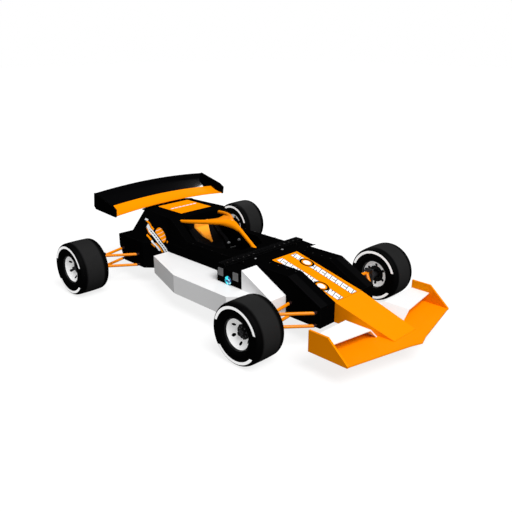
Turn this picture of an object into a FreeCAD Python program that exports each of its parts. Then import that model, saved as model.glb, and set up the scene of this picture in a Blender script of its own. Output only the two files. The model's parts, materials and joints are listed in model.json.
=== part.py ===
import FreeCAD, Part
import math
import os

import Sketcher
from FreeCAD import Placement, Rotation, Vector

# Open wheel racing car with a wide wedge body, two side pods, a halo and two wings.
#
# Frame while modelling: +X to the nose, +Y to the car's left, +Z up, ground at z = 0 and
# x = 0 midway between the axles. Every finished piece is then moved back by half of
# (nose tip + wing tail), so that the origin is under the middle of the whole car.

doc = FreeCAD.newDocument("OpenWheelRacer")

# ---------------------------------------------------------------- driving dimensions (mm)
# name, value, where it is measured from, what it is. A value with no datum stands alone.
DIMENSIONS = [
    ("wheel_base", 2784, "", "front axle to rear axle"),
    ("axle_height", 335, "", "wheel centre over the ground, the tyre's outer radius"),
    ("tyre_width", 386, "", "tyre, face to face"),
    ("tyre_shoulder", 34, "", "rounding between tread and side"),
    ("tyre_bead_round", 16, "", "rounding between side and rim"),
    ("tyre_bead_inset", 26, "", "how far the bead and the rim's flange lie inside the tyre's side"),
    ("bead_radius", 178, "", "tyre's inner radius"),
    ("track_front", 2313, "", "between the front wheels' mid planes"),
    ("track_rear", 2783, "", "between the rear wheels' mid planes"),
    ("rim_gap", 0.3, "", "rim to tyre"),
    ("rim_wall", 9, "", "thickness of the rim's barrel"),
    ("rim_disc", 14, "", "thickness of the wheel's face"),
    ("rim_recess", 34, "", "edge of the wheel's face behind the tyre's side"),
    ("rim_dish", 42, "", "depth of the dished face at its hub"),
    ("hub_radius", 74, "", "recessed hub of the wheel"),
    ("nut_radius", 30, "", "wheel nut"),
    ("axle_radius", 20, "", "stub axle"),
    ("running_gap", 0.05, "", "radial clearance of a shaft in its bore"),
    ("kingpin_inset", 120, "", "kingpin inboard of the tyre's inner face"),
    ("kingpin_radius", 12, "", "kingpin"),
    ("arm_eye", 13, "kingpin_radius", "outer radius of a wishbone's eye"),
    ("arm_upper_z", 396, "", "upper wishbone"),
    ("arm_lower_z", 26, "belly_z", "lower wishbone"),
    ("arm_tube", 18, "", "radius of a wishbone's tubes"),
    ("arm_eye_height", 40, "", "height of that eye"),
    ("arm_lug", 12, "", "half width of the lug at a wishbone's inboard end"),
    ("arm_lug_length", 30, "", "length of that lug"),
    ("belly_z", 225, "", "underside of the body"),
    ("waist_z", 577, "", "top of the body's upright sides"),
    ("rim_z", 667, "", "cockpit rim"),
    ("body_half", 480, "", "half width of the body"),
    ("rim_half", -30, "body_half", "half width of the deck beside the cockpit"),
    ("roof_z", 930, "", "crown of the engine cover"),
    ("roof_edge_z", -27, "roof_z", "edge of the roof"),
    ("roof_half", -25, "body_half", "half width of the roof's edge"),
    ("crown_half", 230, "", "half width of the roof's flat crown"),
    ("cover_rear_half", -53, "roof_half", "half width of the roof at its rear end"),
    ("cover_rear_x", 22, "rear_axle", "rear end of the engine cover"),
    ("roof_lip", 36, "", "overhang of the roof's rear lip"),
    ("case_step_x", 352, "rear_axle", "rear case starts to narrow here"),
    ("case_half", 700, "", "half width of the rear case"),
    ("case_rear_x", -195, "rear_axle", "rear end of the rear case"),
    ("case_keel_x", -98, "rear_axle", "rear end of its flat underside"),
    ("case_tail_z", 194, "belly_z", "underside of its tail"),
    ("pillar_top_x", 652, "rear_axle", "front edge of the roof"),
    ("pillar_foot_x", 972, "rear_axle", "the roof's sides run down to the cockpit rim here"),
    ("tub_rear_x", 592, "rear_axle", "rear end of the cockpit tub"),
    ("cockpit_rear_x", 692, "rear_axle", "rear wall of the cockpit"),
    ("cockpit_front_x", -1112, "front_axle", "front edge of the cockpit opening"),
    ("cockpit_half", -98, "rim_half", "half width of the cockpit opening"),
    ("cockpit_nose_half", 180, "", "half width of the opening at its front edge"),
    ("cockpit_bend_x", -280, "cockpit_front_x", "the opening starts to narrow here"),
    ("cockpit_floor_z", 30, "belly_z", "cockpit floor"),
    ("footwell_front_x", -612, "front_axle", "front wall of the footwell"),
    ("deck_thick", 37, "", "deck over the footwell"),
    ("skin", 28, "", "thickness of the engine cover"),
    ("scuttle_x", -579, "front_axle", "joint between tub and front body"),
    ("rail_knee_x", -102, "front_axle", "where the front body's rails start to fall"),
    ("rail_z", 686, "", "top of those rails"),
    ("rail_half", -15, "body_half", "outer face of the rails"),
    ("rail_inner", 32, "panel_half", "inner edge of the rails' top at their knee"),
    ("bulkhead_x", 354, "front_axle", "joint between front body and nose"),
    ("bulkhead_z", 455, "", "top of the nose at that joint"),
    ("panel_knee_z", 118, "bulkhead_z", "sloping panel between the rails at their knee"),
    ("panel_half", 214, "", "half width of that panel"),
    ("nose_half", 230, "", "half width of the nose at the front body"),
    ("nose_front_half", -34, "nose_half", "half width of the nose where it meets the wing"),
    ("nose_front_x", 1078, "front_axle", "front end of the nose's slope"),
    ("nose_tip_x", 1281, "front_axle", "foremost point, the wing's middle"),
    ("wing_shoulder_x", 1230, "front_axle", "end of the wing's blunt middle"),
    ("wing_shoulder_half", 148, "", "half width of that middle"),
    ("wing_tip_x", 1055, "front_axle", "front corner of the wing at its tip"),
    ("wing_half", 900, "", "half span of the front wing between its end plates"),
    ("wing_rear_x", 628, "front_axle", "rear edge of the front wing's main plane"),
    ("wing_thick", 20, "", "thickness of that plane"),
    ("endplate_thick", 24, "", "thickness of the front end plates"),
    ("endplate_rear_x", 583, "front_axle", "rear edge of the front end plates"),
    ("endplate_knee_x", 813, "front_axle", "front end of their top edge"),
    ("endplate_top_z", 229, "belly_z", "their top edge"),
    ("flap_z", 137, "belly_z", "top of the front flaps"),
    ("flap_thick", 12, "", "their thickness"),
    ("flap_tip_x", 811, "front_axle", "their front edge at the end plate"),
    ("flap_root_x", 898, "front_axle", "their front edge inboard"),
    ("flap_bend_half", 343, "", "where the flaps bend down to the wing"),
    ("flap_foot_half", -2, "nose_half", "the flaps' feet"),
    ("pod_top_z", 455, "", "top of the side pods"),
    ("pod_half", 947, "", "outer face of the side pods"),
    ("pod_rear_half", 713, "", "outer face at their rear end"),
    ("pod_rear_x", 599, "rear_axle", "rear end of the side pods"),
    ("pod_kink_x", 1307, "rear_axle", "where their outer face turns inward"),
    ("pod_corner_x", -560, "front_axle", "front end of their outer face"),
    ("pod_neck_x", -292, "front_axle", "end of their slanted front corner"),
    ("pod_front_x", -130, "front_axle", "front end of the side pods"),
    ("fairing_half", 697, "", "outer face of the side fairings"),
    ("beam_rear_x", -999, "front_axle", "rear face of the cross beam"),
    ("beam_depth", 118, "", "cross beam, front to rear"),
    ("beam_half", 670, "", "half length of the cross beam"),
    ("beam_thick", 30, "", "height of the cross beam"),
    ("beam_slot", 8, "", "width of the beam's slots"),
    ("lamp_rear_x", -987, "front_axle", "rear face of the lamp housings"),
    ("lamp_front_x", -7, "scuttle_x", "front face of the lamp housings"),
    ("lamp_half", -8, "fairing_half", "outer face of the lamp housings"),
    ("lens_radius", 50, "", "lens of each lamp"),
    ("halo_tube", 25, "", "radius of the halo's front tube at its foot"),
    ("halo_neck", 46, "", "radius of that tube where the arms meet"),
    ("halo_arm_tube", 24, "", "radius of its arms"),
    ("halo_arm_half", -28, "cockpit_half", "rear ends of the arms, from the middle"),
    ("halo_arm_z", -80, "roof_z", "height of those ends"),
    ("halo_arch", 6, "", "rise of the arms over a straight line"),
    ("halo_bow", 66, "", "how far the arms bow outward from a straight line"),
    ("halo_apex_x", -413, "halo_foot_x", "where the arms meet"),
    ("halo_apex_z", -16, "roof_z", "height where they meet"),
    ("halo_web", 215, "", "length of the web in the fork"),
    ("halo_web_thick", 32, "", "thickness of that web"),
    ("halo_bend", 180, "", "bend radius of the front tube"),
    ("halo_foot_x", -1092, "front_axle", "foot of the halo"),
    ("seat_half", 235, "", "half width of the seat"),
    ("seat_bolster", 55, "", "thickness of the seat's side bolsters"),
    ("seat_pan_z", 70, "cockpit_floor_z", "top of the seat's pan"),
    ("seat_top_z", -50, "halo_arm_z", "top of the seat's back"),
    ("pad_half", 130, "", "half width of the headrest at its top"),
    ("pad_thick", 24, "", "thickness of the headrest"),
    ("yoke_x", -360, "cockpit_front_x", "centre of the steering yoke"),
    ("yoke_z", -119, "rim_z", "height of that centre"),
    ("yoke_half", 105, "", "half width of the yoke"),
    ("yoke_thick", 26, "", "thickness of the yoke"),
    ("shaft_radius", 11, "", "steering shaft"),
    ("rear_wing_half", 905, "", "half span of the rear wing between its end plates"),
    ("rear_wing_front_x", 108, "rear_axle", "leading edge of the rear wing"),
    ("rear_wing_front_z", -6, "roof_z", "its height at the end plates"),
    ("rear_wing_rear_x", -362, "rear_axle", "trailing edge of the rear wing"),
    ("rear_wing_rear_z", 211, "roof_z", "its height at the end plates"),
    ("rear_wing_sag", 46, "", "how far the wing hangs below a straight line across its chord"),
    ("rear_wing_rise", 46, "", "rise of the arched wing at its middle"),
    ("rear_wing_thick", 20, "", "thickness of the rear wing"),
    ("rear_plate_thick", 22, "", "thickness of the rear end plates"),
    ("wing_tail_x", -387, "rear_axle", "rearmost point, the rear end plates"),
    ("pylon_half", 150, "", "rear wing's pylons, from the middle"),
    ("pylon_thick", 16, "", "thickness of the pylons"),
    ("plank_half", 300, "", "half width of the floor plank"),
    ("plank_thick", 25, "", "thickness of the floor plank"),
    ("plank_front_x", -212, "front_axle", "front end of the floor plank"),
    ("engine_half", 260, "", "half width of the engine"),
    ("engine_rear_x", 92, "rear_axle", "rear face of the engine"),
    ("engine_front_x", 522, "rear_axle", "front face of the engine"),
    ("engine_z", -210, "roof_z", "top of the engine"),
]

sheet = doc.addObject("Spreadsheet::Sheet", "Dims")
for row, (name, value, datum, note) in enumerate(DIMENSIONS, start=1):
    sheet.set(f"A{row}", note if not datum else f"{note}, from {datum}")
    sheet.set(f"B{row}", str(value))
    sheet.setAlias(f"B{row}", name)
doc.recompute()


class Size:
    """A length with its number and the sheet expression that the number comes from."""

    def __init__(self, value, text=None):
        self.value = float(value)
        self.text = text if text is not None else f"({value})"

    def __add__(self, other):
        other = as_size(other)
        return Size(self.value + other.value, f"({self.text} + {other.text})")

    def __sub__(self, other):
        other = as_size(other)
        return Size(self.value - other.value, f"({self.text} - {other.text})")

    def __rsub__(self, other):
        return as_size(other) - self

    def __mul__(self, factor):
        return Size(self.value * factor, f"({self.text} * {factor})")

    def __neg__(self):
        return self * -1

    __radd__ = __add__
    __rmul__ = __mul__


def as_size(value):
    return value if isinstance(value, Size) else Size(value)


class Dimensions:
    """Each row of the table as a Size in the car's frame: its value plus its datum."""

    datums = {name: datum for name, _, datum, _ in DIMENSIONS}

    @property
    def front_axle(self):
        return self.wheel_base * 0.5

    @property
    def rear_axle(self):
        return self.wheel_base * -0.5

    @property
    def scuttle_z(self):
        return self.rim_z - self.beam_thick

    @property
    def wing_top_z(self):
        return self.belly_z + self.wing_thick

    def __getattr__(self, name):
        own = Size(sheet.get(name), f"Dims.{name}")
        datum = self.datums[name]
        return own + getattr(self, datum) if datum else own


dim = Dimensions()
SIDES = {"left": 1, "right": -1}
shift_x = (dim.nose_tip_x + dim.wing_tail_x) * -0.5
parts = []


# ---------------------------------------------------------------- helpers
def bind(item, prop, size):
    """Tie one property of an object to the sheet."""
    item.setExpression(prop, as_size(size).text)


def finish(item, label, x=0, y=0, z=0):
    """Name a finished sub-part and place it in the car's frame."""
    item.Label = label
    bind(item, "Placement.Base.x", shift_x + x)
    bind(item, "Placement.Base.y", y)
    bind(item, "Placement.Base.z", z)
    parts.append(item)
    return item


def new_body(label, x=0, y=0, z=0):
    body = doc.addObject("PartDesign::Body", label)
    return finish(body, label, x, y, z)


def origin_item(body, role):
    return next(item for item in body.Origin.OriginFeatures if item.Role == role)


def new_sketch(body, role, offset=0):
    """A sketch on an origin plane of its body, moved along the plane's normal."""
    sketch = body.newObject("Sketcher::SketchObject", f"{body.Name}_sketch")
    sketch.AttachmentSupport = [(origin_item(body, role), "")]
    sketch.MapMode = "FlatFace"
    offset = as_size(offset)
    sketch.AttachmentOffset = Placement(Vector(0, 0, offset.value), Rotation())
    bind(sketch, "AttachmentOffset.Base.z", offset)
    sketch.Visibility = False
    return sketch


def fix_point(sketch, element, point, across, up, tag):
    """Tie one point of a sketch to the sheet."""
    for kind, size in (("DistanceX", across), ("DistanceY", up)):
        place = sketch.addConstraint(Sketcher.Constraint(kind, -1, 1, element, point, size.value))
        sketch.renameConstraint(place, f"{kind}{tag}")
        bind(sketch, f"Constraints.{kind}{tag}", size)


def outline(sketch, points):
    """Closed polygon whose corners are all tied to the sheet."""
    points = [(as_size(across), as_size(up)) for across, up in points]
    corners = [Vector(across.value, up.value, 0) for across, up in points]
    first = sketch.GeometryCount
    count = len(points)
    for index in range(count):
        line = Part.LineSegment(corners[index], corners[(index + 1) % count])
        sketch.addGeometry(line, False)
    for index in range(count):
        after = first + (index + 1) % count
        sketch.addConstraint(Sketcher.Constraint("Coincident", first + index, 2, after, 1))
    for index, (across, up) in enumerate(points):
        fix_point(sketch, first + index, 1, across, up, first + index)
    return sketch


def ring(sketch, across, up, radius):
    """Circle with its centre and radius tied to the sheet."""
    across, up, radius = as_size(across), as_size(up), as_size(radius)
    index = sketch.addGeometry(Part.Circle(Vector(across.value, up.value, 0), Vector(0, 0, 1),
                                           radius.value), False)
    fix_point(sketch, index, 3, across, up, index)
    place = sketch.addConstraint(Sketcher.Constraint("Radius", index, radius.value))
    sketch.renameConstraint(place, f"Radius{index}")
    bind(sketch, f"Constraints.Radius{index}", radius)
    return sketch


def mirrored(half):
    """Whole section from its left half, listed from the bottom edge to the middle."""
    return half + [(-as_size(across), up) for across, up in reversed(half)]


def pad(body, sketch, length, midplane=False, reverse=False):
    feature = body.newObject("PartDesign::Pad", f"{body.Name}_pad")
    feature.Profile = sketch
    feature.Midplane = midplane
    feature.Reversed = reverse
    bind(feature, "Length", length)
    return feature


def pocket(body, sketch, length, midplane=False, reverse=False):
    feature = body.newObject("PartDesign::Pocket", f"{body.Name}_pocket")
    feature.Profile = sketch
    feature.Midplane = midplane
    feature.Reversed = reverse
    bind(feature, "Length", length)
    return feature


def loft(body, stations, plane="YZ_Plane", cut=False, ruled=True):
    """Loft through (offset, section) stations on parallel planes."""
    kind = "PartDesign::SubtractiveLoft" if cut else "PartDesign::AdditiveLoft"
    sketches = [outline(new_sketch(body, plane, offset), section) for offset, section in stations]
    feature = body.newObject(kind, f"{body.Name}_loft")
    feature.Profile = sketches[0]
    feature.Sections = sketches[1:]
    feature.Ruled = ruled
    return feature


def spin(body, profile):
    """Full turn of a (distance along the axle, radius) profile about the wheel's axle."""
    sketch = outline(new_sketch(body, "YZ_Plane"), profile)
    feature = body.newObject("PartDesign::Revolution", f"{body.Name}_turn")
    feature.Profile = sketch
    feature.ReferenceAxis = (sketch, ["H_Axis"])
    feature.Angle = 360
    return feature


def slab_y(label, points, inner, thick, side):
    """Plate with its outline in x and z, standing at one side of the car."""
    body = new_body(label)
    # the normal of the XZ plane is -Y
    sketch = outline(new_sketch(body, "XZ_Plane", -side * inner), points)
    pad(body, sketch, thick, reverse=side > 0)
    return body


def shape_part(label, shape):
    item = doc.addObject("Part::Feature", label)
    item.Shape = shape
    return finish(item, label)


def rod(start, end, radius):
    """Round bar between two points."""
    run = end - start
    return Part.makeCylinder(radius, run.Length, start, run)


def joined(shapes):
    """One solid from overlapping ones."""
    whole = shapes[0]
    for shape in shapes[1:]:
        whole = whole.fuse(shape)
    return largest(whole.removeSplitter())


def hoop(radius, centre, along):
    """Circle as a section, turned alike for every direction so that a loft does not twist."""
    circle = Part.makeCircle(radius)
    circle.Placement = Placement(centre, Rotation(Vector(), Vector(0, 0, 1), along, "ZYX"))
    return Part.Wire([circle])


def largest(shape):
    return max(shape.Solids, key=lambda solid: solid.Volume)


# ---------------------------------------------------------------- nose and front wing
def make_nose():
    """Side profile with a flat belly, tapered in plan and stepped over the wing's plane."""
    body = new_body("nose_cone")
    side_view = [
        (dim.bulkhead_x, dim.belly_z),
        (dim.wing_rear_x, dim.belly_z),
        (dim.wing_rear_x, dim.wing_top_z),
        (dim.nose_front_x, dim.wing_top_z),
        (dim.nose_front_x, dim.wing_top_z + 4),
        (dim.bulkhead_x, dim.bulkhead_z),
    ]
    pad(body, outline(new_sketch(body, "XZ_Plane"), side_view), dim.nose_half * 2, midplane=True)
    trim = new_sketch(body, "XY_Plane", dim.belly_z)
    for side in SIDES.values():
        outline(trim, [
            (dim.bulkhead_x, side * dim.nose_half),
            (dim.nose_front_x, side * dim.nose_front_half),
            (dim.nose_front_x, side * (dim.nose_half + 10)),
            (dim.bulkhead_x, side * (dim.nose_half + 10)),
        ])
    pocket(body, trim, dim.bulkhead_z, reverse=True)


def make_front_wing():
    body = new_body("front_wing_plane")
    half = [
        (dim.wing_rear_x, dim.wing_half),
        (dim.wing_tip_x, dim.wing_half),
        (dim.wing_shoulder_x, dim.wing_shoulder_half),
    ]
    plan = half + [(dim.nose_tip_x, 0)] + [(x, -y) for x, y in reversed(half)]
    pad(body, outline(new_sketch(body, "XY_Plane", dim.belly_z), plan), dim.wing_thick)


def make_front_endplate(name, side):
    slab_y(f"front_endplate_{name}", [
        (dim.endplate_rear_x, dim.belly_z),
        (dim.wing_tip_x, dim.belly_z),
        (dim.wing_tip_x, dim.wing_top_z),
        (dim.endplate_knee_x, dim.endplate_top_z),
        (dim.endplate_rear_x, dim.endplate_top_z),
    ], dim.wing_half, dim.endplate_thick, side)


def make_front_flap(name, side):
    """Raised flap with its inner end bent down to the wing beside the nose."""
    body = new_body(f"front_flap_{name}")
    low = dim.flap_z - dim.flap_thick
    section = [
        (dim.wing_half, low),
        (dim.wing_half, dim.flap_z),
        (dim.flap_bend_half, dim.flap_z),
        (dim.flap_foot_half, dim.wing_top_z + 5),
        (dim.flap_foot_half, dim.wing_top_z),
        (dim.flap_foot_half + dim.flap_thick * 1.2, dim.wing_top_z),
        (dim.flap_bend_half + 6, low),
    ]
    sketch = new_sketch(body, "YZ_Plane", dim.endplate_rear_x)
    outline(sketch, [(side * across, up) for across, up in section])
    pad(body, sketch, dim.flap_root_x - dim.endplate_rear_x)
    sweep = new_sketch(body, "XY_Plane", dim.belly_z)
    outline(sweep, [
        (dim.flap_root_x, side * dim.flap_bend_half),
        (dim.flap_tip_x, side * dim.wing_half),
        (dim.flap_tip_x, side * (dim.wing_half + 20)),
        (dim.flap_root_x + 20, side * (dim.wing_half + 20)),
        (dim.flap_root_x + 20, side * dim.flap_bend_half),
    ])
    pocket(body, sweep, dim.flap_z, reverse=True)


# ---------------------------------------------------------------- body
def make_front_body():
    """Upright sides, two rails that fall towards the nose, a sloping panel between them."""
    body = new_body("front_body")
    # x, top of the rails, inner edge of their top, half width and height of the panel
    stations = [
        (dim.scuttle_x, dim.rail_z, dim.rail_inner - 19, dim.panel_half, dim.rail_z - 1),
        (dim.rail_knee_x, dim.rail_z, dim.rail_inner, dim.panel_half, dim.panel_knee_z),
        (dim.bulkhead_x, dim.bulkhead_z + 4, dim.nose_half + 1, dim.nose_half, dim.bulkhead_z),
    ]
    loft(body, [
        (x, mirrored([(dim.rail_half, dim.belly_z), (dim.rail_half, rail_top), (inner, rail_top),
                      (panel_half, panel_z)]))
        for x, rail_top, inner, panel_half, panel_z in stations
    ])


def make_tub():
    """Box with a raised deck, a cockpit opening and a footwell under the deck."""
    body = new_body("cockpit_tub")
    box = mirrored([(dim.body_half, dim.belly_z), (dim.body_half, dim.waist_z)])
    sketch = outline(new_sketch(body, "YZ_Plane", dim.tub_rear_x), box)
    pad(body, sketch, dim.scuttle_x - dim.tub_rear_x)
    # the deck's two heights: rear x, front x, height
    decks = [
        (dim.pillar_foot_x, dim.beam_rear_x - 1, dim.rim_z),
        (dim.beam_rear_x - 1, dim.scuttle_x, dim.scuttle_z),
    ]
    for rear, front, top in decks:
        section = mirrored([(dim.body_half, dim.waist_z), (dim.rim_half, top)])
        pad(body, outline(new_sketch(body, "YZ_Plane", rear), section), front - rear)
    opening = new_sketch(body, "XY_Plane", dim.cockpit_floor_z)
    outline(opening, [
        (dim.cockpit_rear_x, dim.cockpit_half),
        (dim.cockpit_bend_x, dim.cockpit_half),
        (dim.cockpit_front_x, dim.cockpit_nose_half),
        (dim.cockpit_front_x, -dim.cockpit_nose_half),
        (dim.cockpit_bend_x, -dim.cockpit_half),
        (dim.cockpit_rear_x, -dim.cockpit_half),
    ])
    pocket(body, opening, dim.rim_z, reverse=True)
    footwell = new_sketch(body, "YZ_Plane", dim.cockpit_bend_x)
    outline(footwell, mirrored([(dim.cockpit_half, dim.cockpit_floor_z),
                                (dim.cockpit_half, dim.scuttle_z - dim.deck_thick)]))
    pocket(body, footwell, dim.footwell_front_x - dim.cockpit_bend_x, reverse=True)


def make_rear_case():
    """Flat box round the engine with an upswept tail, narrowing to the cockpit tub."""
    body = new_body("rear_case")
    # x, half width, underside
    stations = [
        (dim.case_rear_x, dim.case_half, dim.case_tail_z),
        (dim.case_keel_x, dim.case_half, dim.belly_z),
        (dim.case_step_x, dim.case_half, dim.belly_z),
        (dim.tub_rear_x, dim.body_half, dim.belly_z),
    ]
    loft(body, [(x, mirrored([(half, under), (half, dim.waist_z)])) for x, half, under in stations])
    well = new_sketch(body, "XY_Plane", dim.cockpit_floor_z)
    outline(well, [
        (dim.engine_rear_x - 40, dim.engine_half + 40),
        (dim.engine_front_x + 40, dim.engine_half + 40),
        (dim.engine_front_x + 40, -dim.engine_half - 40),
        (dim.engine_rear_x - 40, -dim.engine_half - 40),
    ])
    pocket(body, well, dim.waist_z, reverse=True)


def make_engine_cover():
    """Hollow hood over the engine whose sides run down beside the cockpit as two pillars."""
    body = new_body("engine_cover")
    # x, half width at the waist, half width and height of the roof's edge, crown's height
    stations = [
        (dim.cover_rear_x, dim.case_half - 14, dim.cover_rear_half, dim.roof_edge_z, dim.roof_z),
        (dim.case_step_x, dim.case_half - 8, dim.roof_half - 25, dim.roof_edge_z, dim.roof_z),
        (dim.tub_rear_x, dim.body_half, dim.roof_half, dim.roof_edge_z, dim.roof_z),
        (dim.pillar_top_x, dim.body_half, dim.roof_half, dim.roof_edge_z, dim.roof_z),
        (dim.pillar_foot_x, dim.body_half, dim.rim_half, dim.rim_z - 8, dim.rim_z),
    ]
    loft(body, [
        (x, mirrored([(waist_half, dim.waist_z), (edge_half, edge_z), (dim.crown_half, crown_z)]))
        for x, waist_half, edge_half, edge_z, crown_z in stations
    ])
    inner = []
    for x, waist_half, edge_half, edge_z, crown_z in stations[:3]:
        inner.append((x, mirrored([(waist_half - dim.skin * 1.6, dim.waist_z - 10),
                                   (edge_half - dim.skin * 1.3, edge_z - dim.skin),
                                   (dim.crown_half, crown_z - dim.skin)])))
    inner[0] = (dim.cover_rear_x + dim.skin, inner[0][1])
    loft(body, inner, cut=True)
    opening = new_sketch(body, "XY_Plane", dim.waist_z - 20)
    outline(opening, [
        (dim.cockpit_rear_x, dim.cockpit_half),
        (dim.pillar_foot_x + 50, dim.cockpit_half),
        (dim.pillar_foot_x + 50, -dim.cockpit_half),
        (dim.cockpit_rear_x, -dim.cockpit_half),
    ])
    pocket(body, opening, dim.roof_z, reverse=True)
    lip = mirrored([(dim.crown_half, dim.roof_z - 14), (dim.cover_rear_half + 22, dim.roof_edge_z - 14),
                    (dim.cover_rear_half + 22, dim.roof_edge_z - 2), (dim.crown_half, dim.roof_z)])
    sketch = outline(new_sketch(body, "YZ_Plane", dim.cover_rear_x - dim.roof_lip), lip)
    pad(body, sketch, dim.roof_lip + 2)


def make_engine():
    item = doc.addObject("Part::Box", "engine_block")
    bind(item, "Length", dim.engine_front_x - dim.engine_rear_x)
    bind(item, "Width", dim.engine_half * 2)
    bind(item, "Height", dim.engine_z - dim.cockpit_floor_z)
    finish(item, "engine_block", dim.engine_rear_x, -dim.engine_half, dim.cockpit_floor_z)


def make_plank():
    body = new_body("floor_plank")
    plan = [
        (dim.case_keel_x, dim.plank_half),
        (dim.plank_front_x, dim.plank_half),
        (dim.plank_front_x + 60, dim.plank_half - 60),
        (dim.plank_front_x + 60, -dim.plank_half + 60),
        (dim.plank_front_x, -dim.plank_half),
        (dim.case_keel_x, -dim.plank_half),
    ]
    sketch = outline(new_sketch(body, "XY_Plane", dim.belly_z - dim.plank_thick), plan)
    pad(body, sketch, dim.plank_thick)


# ---------------------------------------------------------------- side pods and what stands on them
def make_side_pod(name, side):
    body = new_body(f"side_pod_{name}")
    plan = [
        (dim.pod_rear_x, dim.body_half),
        (dim.pod_rear_x, dim.pod_rear_half),
        (dim.pod_kink_x, dim.pod_half),
        (dim.pod_corner_x, dim.pod_half),
        (dim.pod_neck_x, dim.fairing_half),
        (dim.pod_front_x, dim.fairing_half),
        (dim.pod_front_x, dim.rail_half),
        (dim.scuttle_x, dim.rail_half),
        (dim.scuttle_x, dim.body_half),
    ]
    sketch = new_sketch(body, "XY_Plane", dim.belly_z)
    outline(sketch, [(x, side * y) for x, y in plan])
    pad(body, sketch, dim.pod_top_z - dim.belly_z)


def make_side_fairing(name, side):
    slab_y(f"side_fairing_{name}", [
        (dim.scuttle_x, dim.pod_top_z),
        (dim.pod_front_x, dim.pod_top_z),
        (dim.pod_front_x, dim.pod_top_z + 3),
        (dim.scuttle_x, dim.rail_z),
    ], dim.rail_half, dim.fairing_half - dim.rail_half, side)


def make_beam():
    """Extruded bar with two slots along its top and one along its front and rear."""
    body = new_body("cross_beam")
    rear = dim.beam_rear_x
    front = rear + dim.beam_depth
    top = dim.rim_z
    low = dim.scuttle_z
    slot = dim.beam_slot
    middle = low + dim.beam_thick * 0.5
    section = [(rear, low), (front, low)]
    for x, inward in ((front, -1), (rear, 1)):
        heights = (middle - slot * 0.5, middle + slot * 0.5)
        if inward > 0:
            heights = heights[::-1]
        groove = [(x, heights[0]), (x + inward * slot, heights[0]), (x + inward * slot, heights[1]),
                  (x, heights[1])]
        if inward < 0:
            section += groove + [(front, top)]
            for place in (0.25, 0.75):
                centre = front - dim.beam_depth * place
                section += [(centre + slot * 0.5, top), (centre + slot * 0.5, top - slot),
                            (centre - slot * 0.5, top - slot), (centre - slot * 0.5, top)]
            section.append((rear, top))
        else:
            section += groove
    pad(body, outline(new_sketch(body, "XZ_Plane"), section), dim.beam_half * 2, midplane=True)


def make_lamp_housing(name, side):
    """Block between pod and beam with two cheek plates beside its lens."""
    body = slab_y(f"lamp_housing_{name}", [
        (dim.lamp_rear_x, dim.pod_top_z),
        (dim.lamp_front_x, dim.pod_top_z),
        (dim.lamp_front_x, dim.scuttle_z - 20),
        (dim.beam_rear_x + dim.beam_depth, dim.scuttle_z),
        (dim.lamp_rear_x, dim.scuttle_z),
    ], dim.body_half + 2, dim.lamp_half - dim.body_half - 2, side)
    # rear edge of each plate before the housing's rear face, its length
    for start, length in ((14, 82), (270, 82)):
        rear = dim.lamp_rear_x + start
        sketch = new_sketch(body, "XZ_Plane", -side * dim.lamp_half)
        outline(sketch, [
            (rear, dim.pod_top_z + 46),
            (rear + length, dim.pod_top_z + 46),
            (rear + length, dim.scuttle_z - 34),
            (rear, dim.scuttle_z - 34),
        ])
        pad(body, sketch, 7, reverse=side > 0)


def make_lenses():
    """One round lens on each lamp housing, low between the two plates."""
    x = dim.lamp_rear_x.value + 190
    z = dim.pod_top_z.value + dim.lens_radius.value + 2
    discs = []
    for side in SIDES.values():
        start = Vector(x, side * dim.lamp_half.value, z)
        discs.append(Part.makeCylinder(dim.lens_radius.value, 12, start, Vector(0, side, 0)))
    shape_part("lamp_lenses", Part.makeCompound(discs))


# ---------------------------------------------------------------- cockpit
# taper of the halo: share of the way along, share of the neck's extra radius that is left
ARM_TAPER = [(0.0, 0.92), (0.14, 0.75), (0.28, 0.5), (0.42, 0.25), (0.6, 0.1), (0.8, 0.0), (1.0, 0.0)]
BEND_TAPER = [(0.0, 1.0), (0.33, 0.62), (0.66, 0.38), (1.0, 0.24)]


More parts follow.
